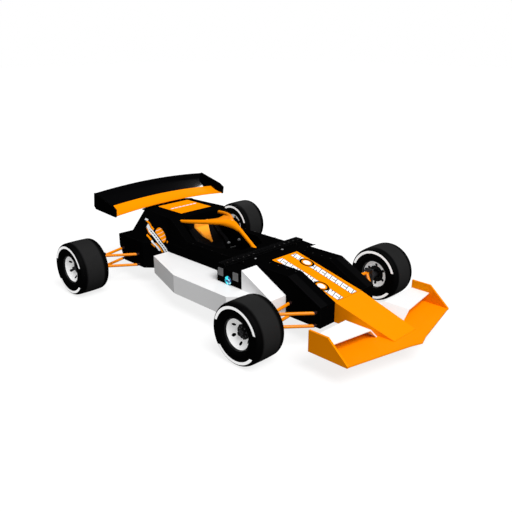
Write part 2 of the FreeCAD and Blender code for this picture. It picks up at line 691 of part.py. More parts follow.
def make_halo():
    """Two bowed arms that meet over the cockpit in a thick neck and run down to the deck."""
    foot_radius = dim.halo_tube.value
    arm_radius = dim.halo_arm_tube.value
    neck = dim.halo_neck.value
    bend = dim.halo_bend.value
    apex = Vector(dim.halo_apex_x.value, 0, dim.halo_apex_z.value)
    foot = Vector(dim.halo_foot_x.value, 0, dim.rim_z.value)
    # the front tube bends round this centre until it points straight at its foot
    centre = apex - Vector(0, 0, bend)
    reach = foot - centre
    turn = math.pi / 2 - math.acos(bend / reach.Length) - math.atan2(reach.z, reach.x)
    rings = []
    for along, share in BEND_TAPER:
        out = Vector(math.sin(turn * along), 0, math.cos(turn * along))
        extra = (neck - foot_radius) * share
        # the extra radius hangs below the middle line
        middle = centre + out * (bend - extra)
        course = Vector(out.z, 0, -out.x) if along < 1 else foot - middle
        rings.append(hoop(foot_radius + extra, middle, course))
    # straight leg from the last ring into the deck, cut off there
    leg = Part.makeCone(foot_radius + extra, foot_radius, course.Length + 60, middle, course)
    knot = apex - Vector(0, 0, neck - foot_radius)
    pieces = [Part.makeLoft(rings, True, True), leg, Part.makeSphere(neck + 1, knot)]
    # left arm up to the cockpit's rear wall, then its mirror image
    rear_x = dim.cockpit_rear_x.value
    bow = Vector(0, dim.halo_bow.value, dim.halo_arch.value)
    end = Vector(rear_x, dim.halo_arm_half.value, dim.halo_arm_z.value)
    arc = Part.Arc(apex, apex + (end - apex) * 0.42 + bow, end)
    rings = []
    for along, share in ARM_TAPER:
        place = arc.LastParameter * along
        extra = (neck - arm_radius) * share
        middle = arc.value(place) - Vector(0, 0, extra)
        course = arc.tangent(place)[0] if along < 1 else Vector(-1, 0, 0)
        rings.append(hoop(arm_radius + extra, middle, course))
    arm = Part.makeLoft(rings, True, True)
    pieces += [arm, arm.mirror(Vector(), Vector(0, 1, 0))]
    # web in the fork, from the neck back between the arms, its rear edge hollowed by a circle
    run = dim.halo_web.value
    wide = dim.halo_arm_half.value * run / (apex.x - rear_x) + bow.y
    half = [(5, 0), (-run * 0.5, wide * 0.62), (-run, wide)]
    plan = [Vector(apex.x + x, y, 0) for x, y in half]
    plan += [Vector(apex.x + x, -y, 0) for x, y in reversed(half[1:])]
    face = Part.Face(Part.makePolygon(plan + plan[:1]))
    thick = dim.halo_web_thick.value
    low = dim.halo_apex_z.value - thick
    face.translate(Vector(0, 0, low))
    web = face.extrude(Vector(0, 0, thick))
    hollow = wide * 1.28
    round_edge = Part.makeCylinder(hollow, thick * 3, Vector(apex.x - run * 0.7 - hollow, 0, low - thick))
    pieces.append(web.cut(round_edge))
    shape = joined(pieces)
    under_deck = Part.makeBox(400, 200, 200, Vector(foot.x - 200, -100, foot.z - 200))
    shape_part("halo", largest(shape.cut(under_deck)))


def seat_back():
    """Front of the seat's back in side view: upright top, reclined middle, lumbar, pan."""
    rear = dim.cockpit_rear_x + 0.3
    top = dim.seat_top_z
    pan = dim.seat_pan_z
    return [(rear + 10, top), (rear + 10, top - 82), (rear + 134, pan + 264), (rear + 228, pan + 220),
            (rear + 350, pan)]


def make_seat():
    """Reclined bucket: a solid profile with a trough between its side bolsters."""
    body = new_body("seat")
    rear = dim.cockpit_rear_x + 0.3
    top = dim.seat_top_z
    pan = dim.seat_pan_z
    outer = [
        (rear + 540, dim.cockpit_floor_z + 0.3),
        (rear + 540, pan + 20),
        (rear + 385, pan + 60),
        (rear + 266, pan + 246),
        (rear + 162, pan + 302),
        (rear + 50, top - 72),
        (rear + 50, top - 20),
        (rear, top - 20),
        (rear, dim.cockpit_floor_z + 0.3),
    ]
    pad(body, outline(new_sketch(body, "XZ_Plane"), outer), dim.seat_half * 2, midplane=True)
    trough = seat_back() + [(rear + 600, pan - 26), (rear + 600, top + 60), (rear + 10, top + 60)]
    sketch = outline(new_sketch(body, "XZ_Plane"), trough[1:])
    pocket(body, sketch, (dim.seat_half - dim.seat_bolster) * 2, midplane=True)


def make_headrest():
    """Pad on the seat's back, broad at the top and pointed at its foot."""
    body = new_body("headrest")
    thick = dim.pad_thick
    # behind: the seat's back and 0.4 of air; before: the pad's thickness further on
    back = [(x + 0.4, z + 0.4) for x, z in seat_back()[1:4]]
    top = (back[0][0], dim.seat_top_z - 4)
    front = [(x + thick * 0.7, z + thick * 0.9) for x, z in back[1:]]
    side_view = [top] + back + front[::-1] + [(back[0][0] + thick, back[0][1] + 8),
                                              (top[0] + thick, top[1])]
    pad(body, outline(new_sketch(body, "XZ_Plane"), side_view), dim.pad_half * 2, midplane=True)
    # height and share of the half width, from the shoulders of the pad to its foot
    shape = [(dim.seat_top_z, 1.0), (back[0][1], 1.0), (back[1][1] + 20, 0.52), (back[2][1] + 24, 0.1)]
    taper = new_sketch(body, "YZ_Plane", dim.cockpit_rear_x - 20)
    low = back[2][1] - 20
    for side in SIDES.values():
        edge = [(side * dim.pad_half * share, z) for z, share in shape]
        outline(taper, edge + [(edge[-1][0], low), (side * (dim.pad_half + 5), low),
                               (side * (dim.pad_half + 5), dim.seat_top_z)])
    pocket(body, taper, 400, reverse=True)


# degrees that the steering shaft falls towards the nose
COLUMN_RAKE = 14


def make_steering_wheel():
    """Yoke with two upright grips, on a shaft that runs forward under the deck."""
    body = new_body("steering_wheel", dim.yoke_x, 0, dim.yoke_z)
    body.Placement = Placement(body.Placement.Base, Rotation(Vector(0, 1, 0), COLUMN_RAKE))
    bind(body, "Placement.Base.x", shift_x + dim.yoke_x)
    bind(body, "Placement.Base.z", dim.yoke_z)
    half = dim.yoke_half
    grip = half - 35
    plate = new_sketch(body, "YZ_Plane")
    outline(plate, mirrored([(grip, -60), (half, -20), (half, 112), (half - 8, 127), (grip + 8, 127),
                             (grip, 112), (grip - 10, 34)]))
    pad(body, plate, dim.yoke_thick, midplane=True)
    shaft = ring(new_sketch(body, "YZ_Plane", 5), 0, 0, dim.shaft_radius)
    pad(body, shaft, dim.cockpit_front_x - dim.yoke_x + 85)


def make_column_bracket():
    """Bearing block under the deck that carries the steering shaft."""
    block = doc.addObject("Part::Box", "bracket_block")
    bind(block, "Length", 60)
    bind(block, "Width", 90)
    drop = (dim.cockpit_front_x + 35 - dim.yoke_x) * round(math.tan(math.radians(COLUMN_RAKE)), 5)
    height = dim.scuttle_z - dim.deck_thick - dim.yoke_z + drop + 40
    bind(block, "Height", height)
    bind(block, "Placement.Base.x", dim.cockpit_front_x + 5)
    bind(block, "Placement.Base.y", -45)
    bind(block, "Placement.Base.z", dim.scuttle_z - dim.deck_thick - height)
    bore = doc.addObject("Part::Cylinder", "bracket_bore")
    bind(bore, "Radius", dim.shaft_radius + dim.running_gap)
    bind(bore, "Height", dim.cockpit_front_x - dim.yoke_x + 200)
    bore.Placement = Placement(Vector(0, 0, 0), Rotation(Vector(0, 1, 0), 90 + COLUMN_RAKE))
    bind(bore, "Placement.Base.x", dim.yoke_x)
    bind(bore, "Placement.Base.z", dim.yoke_z)
    item = doc.addObject("Part::Cut", "column_bracket")
    item.Base = block
    item.Tool = bore
    finish(item, "column_bracket")


# ---------------------------------------------------------------- rear wing
# upper surface of the wing: fraction of the chord from its leading edge, fraction of its rise
WING_CURVE = [(0.0, 0.0), (0.1, -0.012), (0.3, 0.07), (0.56, 0.28), (0.78, 0.5), (0.9, 0.66), (1.0, 1.0)]
# spanwise arch: fraction of the half span, fraction of the arch's rise
WING_ARCH = [(-1.0, 0.0), (-0.5, 0.75), (0.0, 1.0), (0.5, 0.75), (1.0, 0.0)]


def make_rear_wing():
    """Cambered section, hollow upwards, lofted over an arch from tip to tip."""
    body = new_body("rear_wing_plane")
    chord = dim.rear_wing_front_x - dim.rear_wing_rear_x
    climb = dim.rear_wing_rear_z - dim.rear_wing_front_z
    stations = []
    for span, arch in WING_ARCH:
        lift = dim.rear_wing_front_z + dim.rear_wing_rise * arch
        upper = [(dim.rear_wing_front_x - chord * along, lift + climb * rise)
                 for along, rise in WING_CURVE]
        share = [0.5] + [1.0] * (len(upper) - 2) + [0.3]
        lower = [(x, z - dim.rear_wing_thick * part) for (x, z), part in zip(upper, share)]
        stations.append((dim.rear_wing_half * -span, upper + lower[::-1]))
    loft(body, stations, plane="XZ_Plane", ruled=False)
    return body


def make_rear_endplate(name, side):
    slab_y(f"rear_endplate_{name}", [
        (dim.rear_wing_rear_x, dim.rear_wing_rear_z + 4),
        (dim.wing_tail_x, dim.rear_wing_rear_z - 176),
        (dim.rear_wing_rear_x + 12, dim.rear_wing_front_z + 4),
        (dim.rear_wing_front_x + 7, dim.rear_wing_front_z - 18),
        (dim.rear_wing_front_x + 22, dim.rear_wing_front_z + 82),
        (dim.rear_wing_front_x - 60, dim.rear_wing_front_z + 126),
    ], dim.rear_wing_half, dim.rear_plate_thick, side)


def make_wing_pylons(wing):
    """Two plates from the roof up to the underside of the wing, cut to fit it."""
    shape = wing.Shape.copy()
    shape.translate(Vector(-shift_x.value, 0, 0))
    rear = dim.cover_rear_x.value + 6
    front = dim.rear_wing_front_x.value - 14
    roof = dim.roof_z.value
    thick = dim.pylon_thick.value
    plates = []
    for side in SIDES.values():
        near = side * dim.pylon_half.value - thick / 2
        plate = Part.makeBox(front - rear, thick, 200, Vector(rear, near, roof))
        pieces = plate.cut(shape).Solids
        plates.append(min(pieces, key=lambda solid: solid.CenterOfMass.z))
    shape_part("wing_pylons", Part.makeCompound(plates))


# ---------------------------------------------------------------- wheels and suspension
# corner: sign of its axle along x, track, body face that carries the arms, their feet from the axle
CORNERS = {
    "front": (1, dim.track_front, dim.rail_half, (-55, 298)),
    "rear": (-1, dim.track_rear, dim.case_half, (-98, 252)),
}


def wheel_body(label, end, side):
    """Body at a wheel's centre whose +Y points outward."""
    sign, track, _, _ = CORNERS[end]
    body = new_body(label)
    if side < 0:
        body.Placement = Placement(Vector(0, 0, 0), Rotation(Vector(0, 0, 1), 180))
    bind(body, "Placement.Base.x", shift_x + dim.wheel_base * (sign * 0.5))
    bind(body, "Placement.Base.y", track * (side * 0.5))
    bind(body, "Placement.Base.z", dim.axle_height)
    return body


# rounding of a tyre's shoulder in flat bands: what each corner keeps of the radius, across and up
SHOULDER_BANDS = [(1.0, 0.0), (0.5, 0.134), (0.134, 0.5), (0.0, 1.0)]


def make_tyre(end, name, side):
    """Ring from bead to tread with banded shoulders, its bead tucked over the rim."""
    body = wheel_body(f"tyre_{end}_{name}", end, side)
    half = dim.tyre_width * 0.5
    tread = dim.axle_height
    shoulder = dim.tyre_shoulder
    bead = dim.bead_radius
    inset = dim.tyre_bead_inset
    rise = dim.tyre_bead_round
    outward = [(half - shoulder * across, tread - shoulder * up) for across, up in SHOULDER_BANDS]
    outward += [(half, bead + rise * 2), (half - rise * 0.35, bead + rise), (half - inset, bead)]
    spin(body, [(-across, radius) for across, radius in reversed(outward)] + outward)


def make_rim(end, name, side):
    """Barrel, dished face, recessed hub and its nut."""
    body = wheel_body(f"rim_{end}_{name}", end, side)
    half = dim.tyre_width * 0.5 - dim.tyre_bead_inset
    outer = dim.bead_radius - dim.rim_gap
    inner = outer - dim.rim_wall
    face = dim.tyre_width * 0.5 - dim.rim_recess
    floor = face - dim.rim_dish
    bore = dim.axle_radius + dim.running_gap
    hub = dim.hub_radius
    disc = dim.rim_disc
    spin(body, [
        (-half, outer), (half, outer), (half, inner), (face, inner),
        (face - 6, hub + 14), (floor, hub), (floor, dim.nut_radius), (floor + 26, dim.nut_radius),
        (floor + 26, 8), (floor + 4, 8), (floor + 4, bore), (-half + 100, bore), (-half + 100, hub - 20),
        (floor - disc * 2, hub - 20), (face - disc * 2, hub + 14), (face - disc, inner), (-half, inner),
    ])


def wheel_centre(end, side):
    sign, track, _, _ = CORNERS[end]
    return Vector(sign * dim.wheel_base.value / 2, side * track.value / 2, dim.axle_height.value)


def kingpin_y(end):
    return CORNERS[end][1].value / 2 - dim.tyre_width.value / 2 - dim.kingpin_inset.value


def block(low, high):
    """Box between two opposite corners given in any order."""
    start = Vector(min(low.x, high.x), min(low.y, high.y), min(low.z, high.z))
    size = Vector(abs(high.x - low.x), abs(high.y - low.y), abs(high.z - low.z))
    return Part.makeBox(size.x, size.y, size.z, start)


def make_upright(end, name, side):
    """Kingpin through both wishbone eyes, lugs above and below each, a plate and the stub axle."""
    centre = wheel_centre(end, side)
    pin_y = side * kingpin_y(end)
    upper = dim.arm_upper_z.value
    lower = dim.arm_lower_z.value
    eye = dim.arm_eye_height.value / 2 + 0.3
    plate_y = dim.arm_eye.value + 6
    bottom = lower - eye - 22
    top = upper + eye + 22
    pieces = [rod(Vector(centre.x, pin_y, bottom), Vector(centre.x, pin_y, top),
                  dim.kingpin_radius.value)]
    for low, high in ((bottom, lower - eye), (lower + eye, upper - eye), (upper + eye, top)):
        pieces.append(block(Vector(centre.x - 30, pin_y - side * 22, low),
                            Vector(centre.x + 30, pin_y + side * (plate_y + 6), high)))
    pieces.append(block(Vector(centre.x - 55, pin_y + side * plate_y, bottom),
                        Vector(centre.x + 55, pin_y + side * (plate_y + 26), top)))
    root = Vector(centre.x, pin_y + side * (plate_y + 6), centre.z)
    half = dim.tyre_width.value / 2
    floor = half - dim.rim_recess.value - dim.rim_dish.value
    pieces.append(rod(root, centre + Vector(0, side * (floor - 2), 0), dim.axle_radius.value))
    # shoulder of the axle, just short of the wheel's inner hub
    shoulder = centre - Vector(0, side * (half - dim.tyre_bead_inset.value - 100 + 0.3), 0)
    pieces.append(rod(root, shoulder, dim.axle_radius.value * 1.9))
    shape_part(f"upright_{end}_{name}", joined(pieces))


def make_wishbones(end, name, side):
    """Upper and lower wishbone of one corner, each two tubes with lugs and a bored eye."""
    _, _, root, feet = CORNERS[end]
    centre = wheel_centre(end, side)
    eye_y = side * kingpin_y(end)
    wall_y = side * root.value
    lug = dim.arm_lug.value
    reach = dim.arm_lug_length.value
    height = dim.arm_eye_height.value
    arms = []
    for level in (dim.arm_upper_z.value, dim.arm_lower_z.value):
        pin = Vector(centre.x, eye_y, level)
        low = pin - Vector(0, 0, height / 2)
        pieces = [Part.makeCylinder(dim.arm_eye.value, height, low)]
        for offset in feet:
            wall = Vector(centre.x + offset, wall_y, level)
            joint = wall + Vector(0, side * reach, 0)
            pieces.append(rod(joint, pin, dim.arm_tube.value))
            pieces.append(block(wall - Vector(lug, 0, lug), joint + Vector(lug, side * 10, lug)))
        bore = dim.kingpin_radius.value + dim.running_gap.value
        shape = joined(pieces).cut(Part.makeCylinder(bore, height + 20, low - Vector(0, 0, 10)))
        arms.append(largest(shape))
    shape_part(f"wishbones_{end}_{name}", Part.makeCompound(arms))


# ---------------------------------------------------------------- the whole car
make_nose()
make_front_wing()
make_front_body()
make_tub()
make_rear_case()
make_engine_cover()
make_engine()
make_plank()
make_beam()
make_lenses()
make_halo()
make_seat()
make_headrest()
make_steering_wheel()
make_column_bracket()
rear_wing = make_rear_wing()
for side_name, side_sign in SIDES.items():
    make_front_endplate(side_name, side_sign)
    make_front_flap(side_name, side_sign)
    make_side_pod(side_name, side_sign)
    make_side_fairing(side_name, side_sign)
    make_lamp_housing(side_name, side_sign)
    make_rear_endplate(side_name, side_sign)
    for end_name in CORNERS:
        make_tyre(end_name, side_name, side_sign)
        make_rim(end_name, side_name, side_sign)
        make_upright(end_name, side_name, side_sign)
        make_wishbones(end_name, side_name, side_sign)
doc.recompute()
make_wing_pylons(rear_wing)
doc.recompute()

failed = [item.Name for item in doc.Objects if "Invalid" in item.State or "Error" in item.State]
if failed:
    raise RuntimeError(f"failed features: {failed}")
for item in parts:
    if item.Shape.isNull() or not item.Shape.isValid():
        raise RuntimeError(f"bad shape: {item.Label}")

os.makedirs("parts", exist_ok=True)
for item in parts:
    item.Shape.exportStep(f"parts/{item.Label}.step")
print(f"{len(parts)} sub-parts written")
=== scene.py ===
# %% [markdown]
# # An open wheel racing car, dressed for the studio
#
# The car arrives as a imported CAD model: forty-five parts that already have the right size and
# place. This lesson gives them their finish and adds what is too small or too soft for the CAD:
# rounded tyres, drilled wheel rims, nuts and bolts, a sewn head pad and the painted colours.
# Everything is in metres, with +X to the nose, +Y to the car's left and +Z up.

import json
import math

import bmesh
import bpy
import numpy as np
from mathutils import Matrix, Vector


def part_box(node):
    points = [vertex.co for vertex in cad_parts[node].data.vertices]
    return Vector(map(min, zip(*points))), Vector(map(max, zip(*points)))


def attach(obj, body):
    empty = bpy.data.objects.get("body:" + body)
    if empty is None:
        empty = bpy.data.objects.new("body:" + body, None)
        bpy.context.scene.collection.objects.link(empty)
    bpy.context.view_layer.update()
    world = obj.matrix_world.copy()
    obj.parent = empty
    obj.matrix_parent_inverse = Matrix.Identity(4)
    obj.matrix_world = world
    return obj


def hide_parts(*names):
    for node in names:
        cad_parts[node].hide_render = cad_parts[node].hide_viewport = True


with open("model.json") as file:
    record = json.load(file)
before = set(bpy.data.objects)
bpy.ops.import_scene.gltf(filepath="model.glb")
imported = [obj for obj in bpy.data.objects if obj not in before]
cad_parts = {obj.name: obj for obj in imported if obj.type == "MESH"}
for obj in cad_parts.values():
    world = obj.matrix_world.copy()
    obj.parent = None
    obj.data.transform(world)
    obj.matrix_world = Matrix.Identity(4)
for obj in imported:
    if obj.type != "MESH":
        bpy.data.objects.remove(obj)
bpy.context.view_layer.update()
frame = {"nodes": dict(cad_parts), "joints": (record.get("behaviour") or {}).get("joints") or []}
nodes = frame["nodes"]
joints = {joint["name"]: joint for joint in frame["joints"]}
SIDES = {"left": 1, "right": -1}
ENDS = ("front", "rear")
CORNERS = [(end, side) for end in ENDS for side in SIDES]
FULL_TURN = 2 * math.pi

# %% [markdown]
# ## Meshes from arrays
#
# Every new piece is a surface worked out with numpy. A shape is a grid of points, one row after
# another, and the faces join each point to its neighbours. The arrays go into Blender in one
# call each, which is fast and keeps the formula in view.

# %% Put arrays into a mesh


def piece_from_arrays(name, points, quads):
    """A mesh object from points (n, 3) and quads (m, 4)."""
    mesh = bpy.data.meshes.new(name)
    mesh.vertices.add(len(points))
    mesh.vertices.foreach_set("co", np.ascontiguousarray(points, np.float32).ravel())
    mesh.loops.add(quads.size)
    mesh.loops.foreach_set("vertex_index", quads.astype(np.int32).ravel())
    mesh.polygons.add(len(quads))
    mesh.polygons.foreach_set("loop_start", np.arange(0, quads.size, 4, dtype=np.int32))
    mesh.update(calc_edges=True)
    mesh.validate()
    piece = bpy.data.objects.new(name, mesh)
    bpy.context.scene.collection.objects.link(piece)
    return piece


# %% Read, set and store values at a mesh's points


def mesh_points(piece, kind="co"):
    """The places of a mesh's points or, with kind "normal", the directions that they face."""
    values = np.zeros(len(piece.data.vertices) * 3, np.float32)
    piece.data.vertices.foreach_get(kind, values)
    return values.reshape(-1, 3).astype(float)


def set_points(piece, points):
    piece.data.vertices.foreach_set("co", points.astype(np.float32).ravel())
    piece.data.update()


def store(piece, name, vectors):
    """Keep three numbers with each point, for a material to read under this name."""
    layer = piece.data.attributes.new(name, "FLOAT_VECTOR", "POINT")
    layer.data.foreach_set("vector", vectors.astype(np.float32).ravel())


# %% Faces of a grid, welding and shading


def grid_quads(rows, columns):
    """Corner numbers of the quads of a grid: each point with the next in its row and column."""
    row = np.arange(rows - 1)[:, None] * columns
    column = np.arange(columns - 1)[None, :]
    first = row + column
    return np.stack([first, first + columns, first + columns + 1, first + 1], -1).reshape(-1, 4)


def weld(piece, distance=1e-5, outward=True):
    """Join points that share a place, drop faces with no area and turn the faces outward."""
    shape = bmesh.new()
    shape.from_mesh(piece.data)
    bmesh.ops.remove_doubles(shape, verts=shape.verts, dist=distance)
    bmesh.ops.dissolve_degenerate(shape, edges=shape.edges, dist=distance / 2)
    if outward:
        bmesh.ops.recalc_face_normals(shape, faces=shape.faces)
    shape.to_mesh(piece.data)
    shape.free()
    return piece


def soften(piece, angle):
    """Smooth shading that stays crisp where two faces meet at more than this angle."""
    piece.data.polygons.foreach_set("use_smooth", np.ones(len(piece.data.polygons), bool))
    piece.data.set_sharp_from_angle(angle=math.radians(angle))
    return piece


# %% [markdown]
# Wheels, nuts and bolts are all turned shapes. One function turns a profile about an axis: a
# point of the profile at distance *along* the axis and at *radius* from it goes to the centre,
# plus along times the axis, plus radius times a direction that goes once round.

# %% Turn a profile about an axis


def turned(profile, centre, axis, steps, flute=None):
    """Points centre + along * axis + radius * (cos t * a + sin t * b), for t from 0 to a full turn.
    flute(t) scales the radius, so that a nut can have flats. The profile is (along, radius)."""
    profile = np.asarray(profile, float)
    axis = np.asarray(axis, float) / np.linalg.norm(axis)
    helper = np.array([0.0, 0.0, 1.0]) if abs(axis[2]) < 0.9 else np.array([1.0, 0.0, 0.0])
    across = np.cross(helper, axis)
    across /= np.linalg.norm(across)
    up = np.cross(axis, across)
    turn = np.linspace(0, FULL_TURN, steps + 1)
    scale = np.ones_like(turn) if flute is None else flute(turn)
    ring = (np.cos(turn) * scale)[:, None] * across + (np.sin(turn) * scale)[:, None] * up
    return centre + profile[None, :, :1] * axis + profile[None, :, 1:] * ring[:, None, :]


def scattered(name, profile, places, axis, steps=24, flute=None, crisp=40):
    """Copies of one turned shape in one mesh, one at each place. The profile ends on the axis or
    closes on itself. Edges sharper than crisp, in degrees, stay sharp."""
    sheets = []
    quads = []
    for place in places:
        points = turned(profile, np.asarray(place, float), axis, steps, flute)
        rows, columns = points.shape[:2]
        quads.append(grid_quads(rows, columns) + len(sheets) * rows * columns)
        sheets.append(points.reshape(-1, 3))
    piece = piece_from_arrays(name, np.concatenate(sheets), np.concatenate(quads))
    return soften(weld(piece), crisp)


def turned_piece(name, profile, centre, axis, steps=96, flute=None):
    """One turned shape as an object of its own."""
    return scattered(name, profile, [centre], axis, steps, flute, 35)


def ring_of(count, radius, first=0.0):
    """Points evenly spaced on a circle about the Y axis, the first at an angle in radians."""
    angle = first + np.arange(count) * (FULL_TURN / count)
    return np.stack([np.cos(angle), np.zeros(count), np.sin(angle)], -1) * radius


def hexagon(turn):
    """Radius of a hexagon with a unit inner circle: one over the cosine of the angle off its flat."""
    return 1 / np.cos((turn + math.pi / 6) % (math.pi / 3) - math.pi / 6)


# %% [markdown]
# ## Numbers that vary over a surface
#
# A painted pattern is arithmetic on a position. `Field` wraps a socket of a node tree, so that
# the arithmetic can be written as a sum and reads like one. Each operation adds a Math node.

# %% Arithmetic on sockets


class Field:
    """A number that varies over a surface, held by a socket of a node tree."""

    def __init__(self, tree, value):
        self.tree = tree
        self.value = value

    def math(self, operation, *others, clamp=False):
        node = self.tree.nodes.new("ShaderNodeMath")
        node.operation = operation
        node.use_clamp = clamp
        for place, item in enumerate((self, *others)):
            feed(node.inputs[place], item)
        return Field(self.tree, node.outputs[0])

    def __add__(self, other):
        return self.math("ADD", other)

    def __sub__(self, other):
        return self.math("SUBTRACT", other)

    def __rsub__(self, number):
        return Field(self.tree, number) - self

    def __mul__(self, other):
        return self.math("MULTIPLY", other)

    def __truediv__(self, other):
        return self.math("DIVIDE", other)

    def above(self, level, soft=0.001):
        """0 below the level and 1 above it, with a soft step between."""
        return (self - level).math("DIVIDE", soft, clamp=True)

    def below(self, level, soft=0.001):
        return (level - self).math("DIVIDE", soft, clamp=True)

    def between(self, low, high, soft=0.001):
        return self.above(low, soft) * self.below(high, soft)

    def either(self, other):
        return self.math("MAXIMUM", other)

    def size(self):
        return self.math("ABSOLUTE")

    def beat(self):
        """The remainder after whole numbers, which makes a pattern repeat."""
        return self.math("FRACT")

    def blend(self, first, second):
        """The first colour where this number is 0 and the second where it is 1."""
        node = self.tree.nodes.new("ShaderNodeMix")
        node.data_type = "RGBA"
        colour_sockets = [item for item in node.inputs if item.type == "RGBA"]
        feed(node.inputs["Factor"], self)
        for target, colour in zip(colour_sockets, (first, second)):
            feed(target, colour)
        return Field(self.tree, next(item for item in node.outputs if item.type == "RGBA"))


def feed(target, item):
    """Join a field, or put a plain number or colour, into a socket."""
    value = item.value if isinstance(item, Field) else item
    if isinstance(value, bpy.types.NodeSocket):
        target.id_data.links.new(value, target)
    elif isinstance(value, tuple) and len(value) == 3 and len(target.default_value) == 4:
        target.default_value = (*value, 1.0)
    else:
        target.default_value = value


# %% Into and out of nodes


def feed_all(node, **items):
    """Feed several inputs of a node. An underscore in a name stands for a space."""
    for name, item in items.items():
        feed(node.inputs[name.replace("_", " ")], item)


def socket(source, name):
    """One output of a node, as a field."""
    return Field(source.id_data, source.outputs[name])


def from_node(tree, kind, output, **settings):
    """One output of a new node, as a field."""
    node = tree.nodes.new(kind)
    for name, value in settings.items():
        setattr(node, name, value)
    return socket(node, output)


def split(vector):
    """The three numbers of a vector, as fields."""
    node = vector.tree.nodes.new("ShaderNodeSeparateXYZ")
    feed(node.inputs[0], vector)
    return [Field(vector.tree, part) for part in node.outputs]


def layered(base, *coats):
    """Colours painted one over another: each coat is a mask and a colour."""
    for mask, colour in coats:
        base = mask.blend(base, colour)
    return base


def distance(first, second):
    """Length of a flat vector from its two parts: sqrt(first^2 + second^2)."""
    return (first * first + second * second).math("SQRT")


# %% Places, directions and noise


def own_place(tree):
    """The position on the piece, in metres of the car's own frame."""
    return from_node(tree, "ShaderNodeTexCoord", "Object")


def place_axes(tree):
    return split(own_place(tree))


def facing_axes(tree):
    """The direction that the surface faces, as three fields."""
    return split(from_node(tree, "ShaderNodeNewGeometry", "True Normal"))


def stored_axes(tree, name):
    """The three numbers that store() kept with the points."""
    return split(from_node(tree, "ShaderNodeAttribute", "Vector", attribute_name=name))


def grain(tree, scale, detail=4, roughness=0.6):
    """Noise on the piece's own coordinates, from 0 to 1."""
    node = tree.nodes.new("ShaderNodeTexNoise")
    feed_all(node, Scale=scale, Detail=detail, Roughness=roughness, Vector=own_place(tree))
    return socket(node, "Fac")


# %% [markdown]
# ## Shared effects
#
# Painted panels, metal and plastic on one car share a few effects: edges that are a little
# rounded and rubbed, dust that settles on what faces up, and a fine unevenness in the gloss.
# Each is a node group, made once and used in many materials with its own numbers.

# %% Start a node group


def new_group(name, inputs, outputs):
    """An empty shader group with number inputs (name, value) and outputs (name, socket type)."""
    group = bpy.data.node_groups.new(name, "ShaderNodeTree")
    for label, value in inputs:
        item = group.interface.new_socket(label, in_out="INPUT", socket_type="NodeSocketFloat")
        item.default_value = value
    for label, kind in outputs:
        group.interface.new_socket(label, in_out="OUTPUT", socket_type=kind)
    start = group.nodes.new("NodeGroupInput")
    end = group.nodes.new("NodeGroupOutput")
    return group, start, end


# %% Rubbed and rounded edges


def make_edge_group():
    """The rounded normal leans away from the flat one near an edge. One minus their dot product,
    broken up by noise, is the mask of rubbed paint."""
    group, start, end = new_group(
        "rubbed edges",
        [("Radius", 0.004), ("Amount", 1.0)],
        [("Normal", "NodeSocketVector"), ("Rubbed", "NodeSocketFloat")],
    )
    bevel = group.nodes.new("ShaderNodeBevel")
    bevel.samples = 6
    feed(bevel.inputs["Radius"], socket(start, "Radius"))
    dot = group.nodes.new("ShaderNodeVectorMath")
    dot.operation = "DOT_PRODUCT"
    feed(dot.inputs[0], socket(bevel, "Normal"))
    feed(dot.inputs[1], from_node(group, "ShaderNodeNewGeometry", "Normal"))
    lean = 1.0 - socket(dot, "Value")
    worn = lean * 3.0 + grain(group, 22.0, 5) - 0.78
    rubbed = worn.math("MULTIPLY", 4.0, clamp=True) * lean.above(0.015, 0.03)
    feed_all(end, Rubbed=rubbed * socket(start, "Amount"), Normal=socket(bevel, "Normal"))
    return group


# %% Dust and uneven gloss


def make_dust_group():
    """Dust is the upward part of the direction that a surface faces, times a broad noise and more
    near the ground. Mottle is a slow drift of tone and Ripple is the paint's fine unevenness."""
    group, start, end = new_group(
        "dust and mottle",
        [("Dust", 0.3)],
        [(name, "NodeSocketFloat") for name in ("Dust", "Mottle", "Ripple")],
    )
    _, _, up = facing_axes(group)
    _, _, height = place_axes(group)
    settle = up.math("MAXIMUM", 0.0) * 0.5 + height.below(0.45, 0.5) * 0.5
    patches = grain(group, 5.0, 6, roughness=0.7).above(0.42, 0.35)
    speck = grain(group, 90.0, 3).above(0.45, 0.3)
    dust = settle * patches * (speck * 0.6 + 0.4) * socket(start, "Dust")
    feed_all(end, Dust=dust, Mottle=grain(group, 3.0, 5), Ripple=grain(group, 160.0, 2))
    return group


EDGES = make_edge_group()
DUST = make_dust_group()
print("groups:", EDGES.name, "and", DUST.name)

# %% [markdown]
# ## Paint
#
# The car's paint is a flat colour under a clear coat. The shader's plain numbers are set on the
# Principled BSDF itself. Only what changes over the surface comes through nodes: colour,
# roughness, the bumps and, on the rear wing, the coat.

# %% Start a material, use a group and add relief


def use_group(tree, group, **values):
    node = tree.nodes.new("ShaderNodeGroup")
    node.node_tree = group
    feed_all(node, **values)
    return node


def new_material(name):
    material = bpy.data.materials.new(name)
    material.use_nodes = True
    tree = material.node_tree
    return material, tree, tree.nodes["Principled BSDF"]


def add_relief(shader, height, strength, depth, over=None):
    """Bumps from a height, laid over another normal if one is given."""
    node = shader.id_data.nodes.new("ShaderNodeBump")
    feed_all(node, Strength=strength, Distance=depth, Height=height)
    if over is not None:
        feed(node.inputs["Normal"], over)
    feed(shader.inputs["Normal"], socket(node, "Normal"))


# %% One recipe for painted and moulded surfaces
DUST_COLOUR = (0.42, 0.38, 0.33)
RIPPLE = 0.02


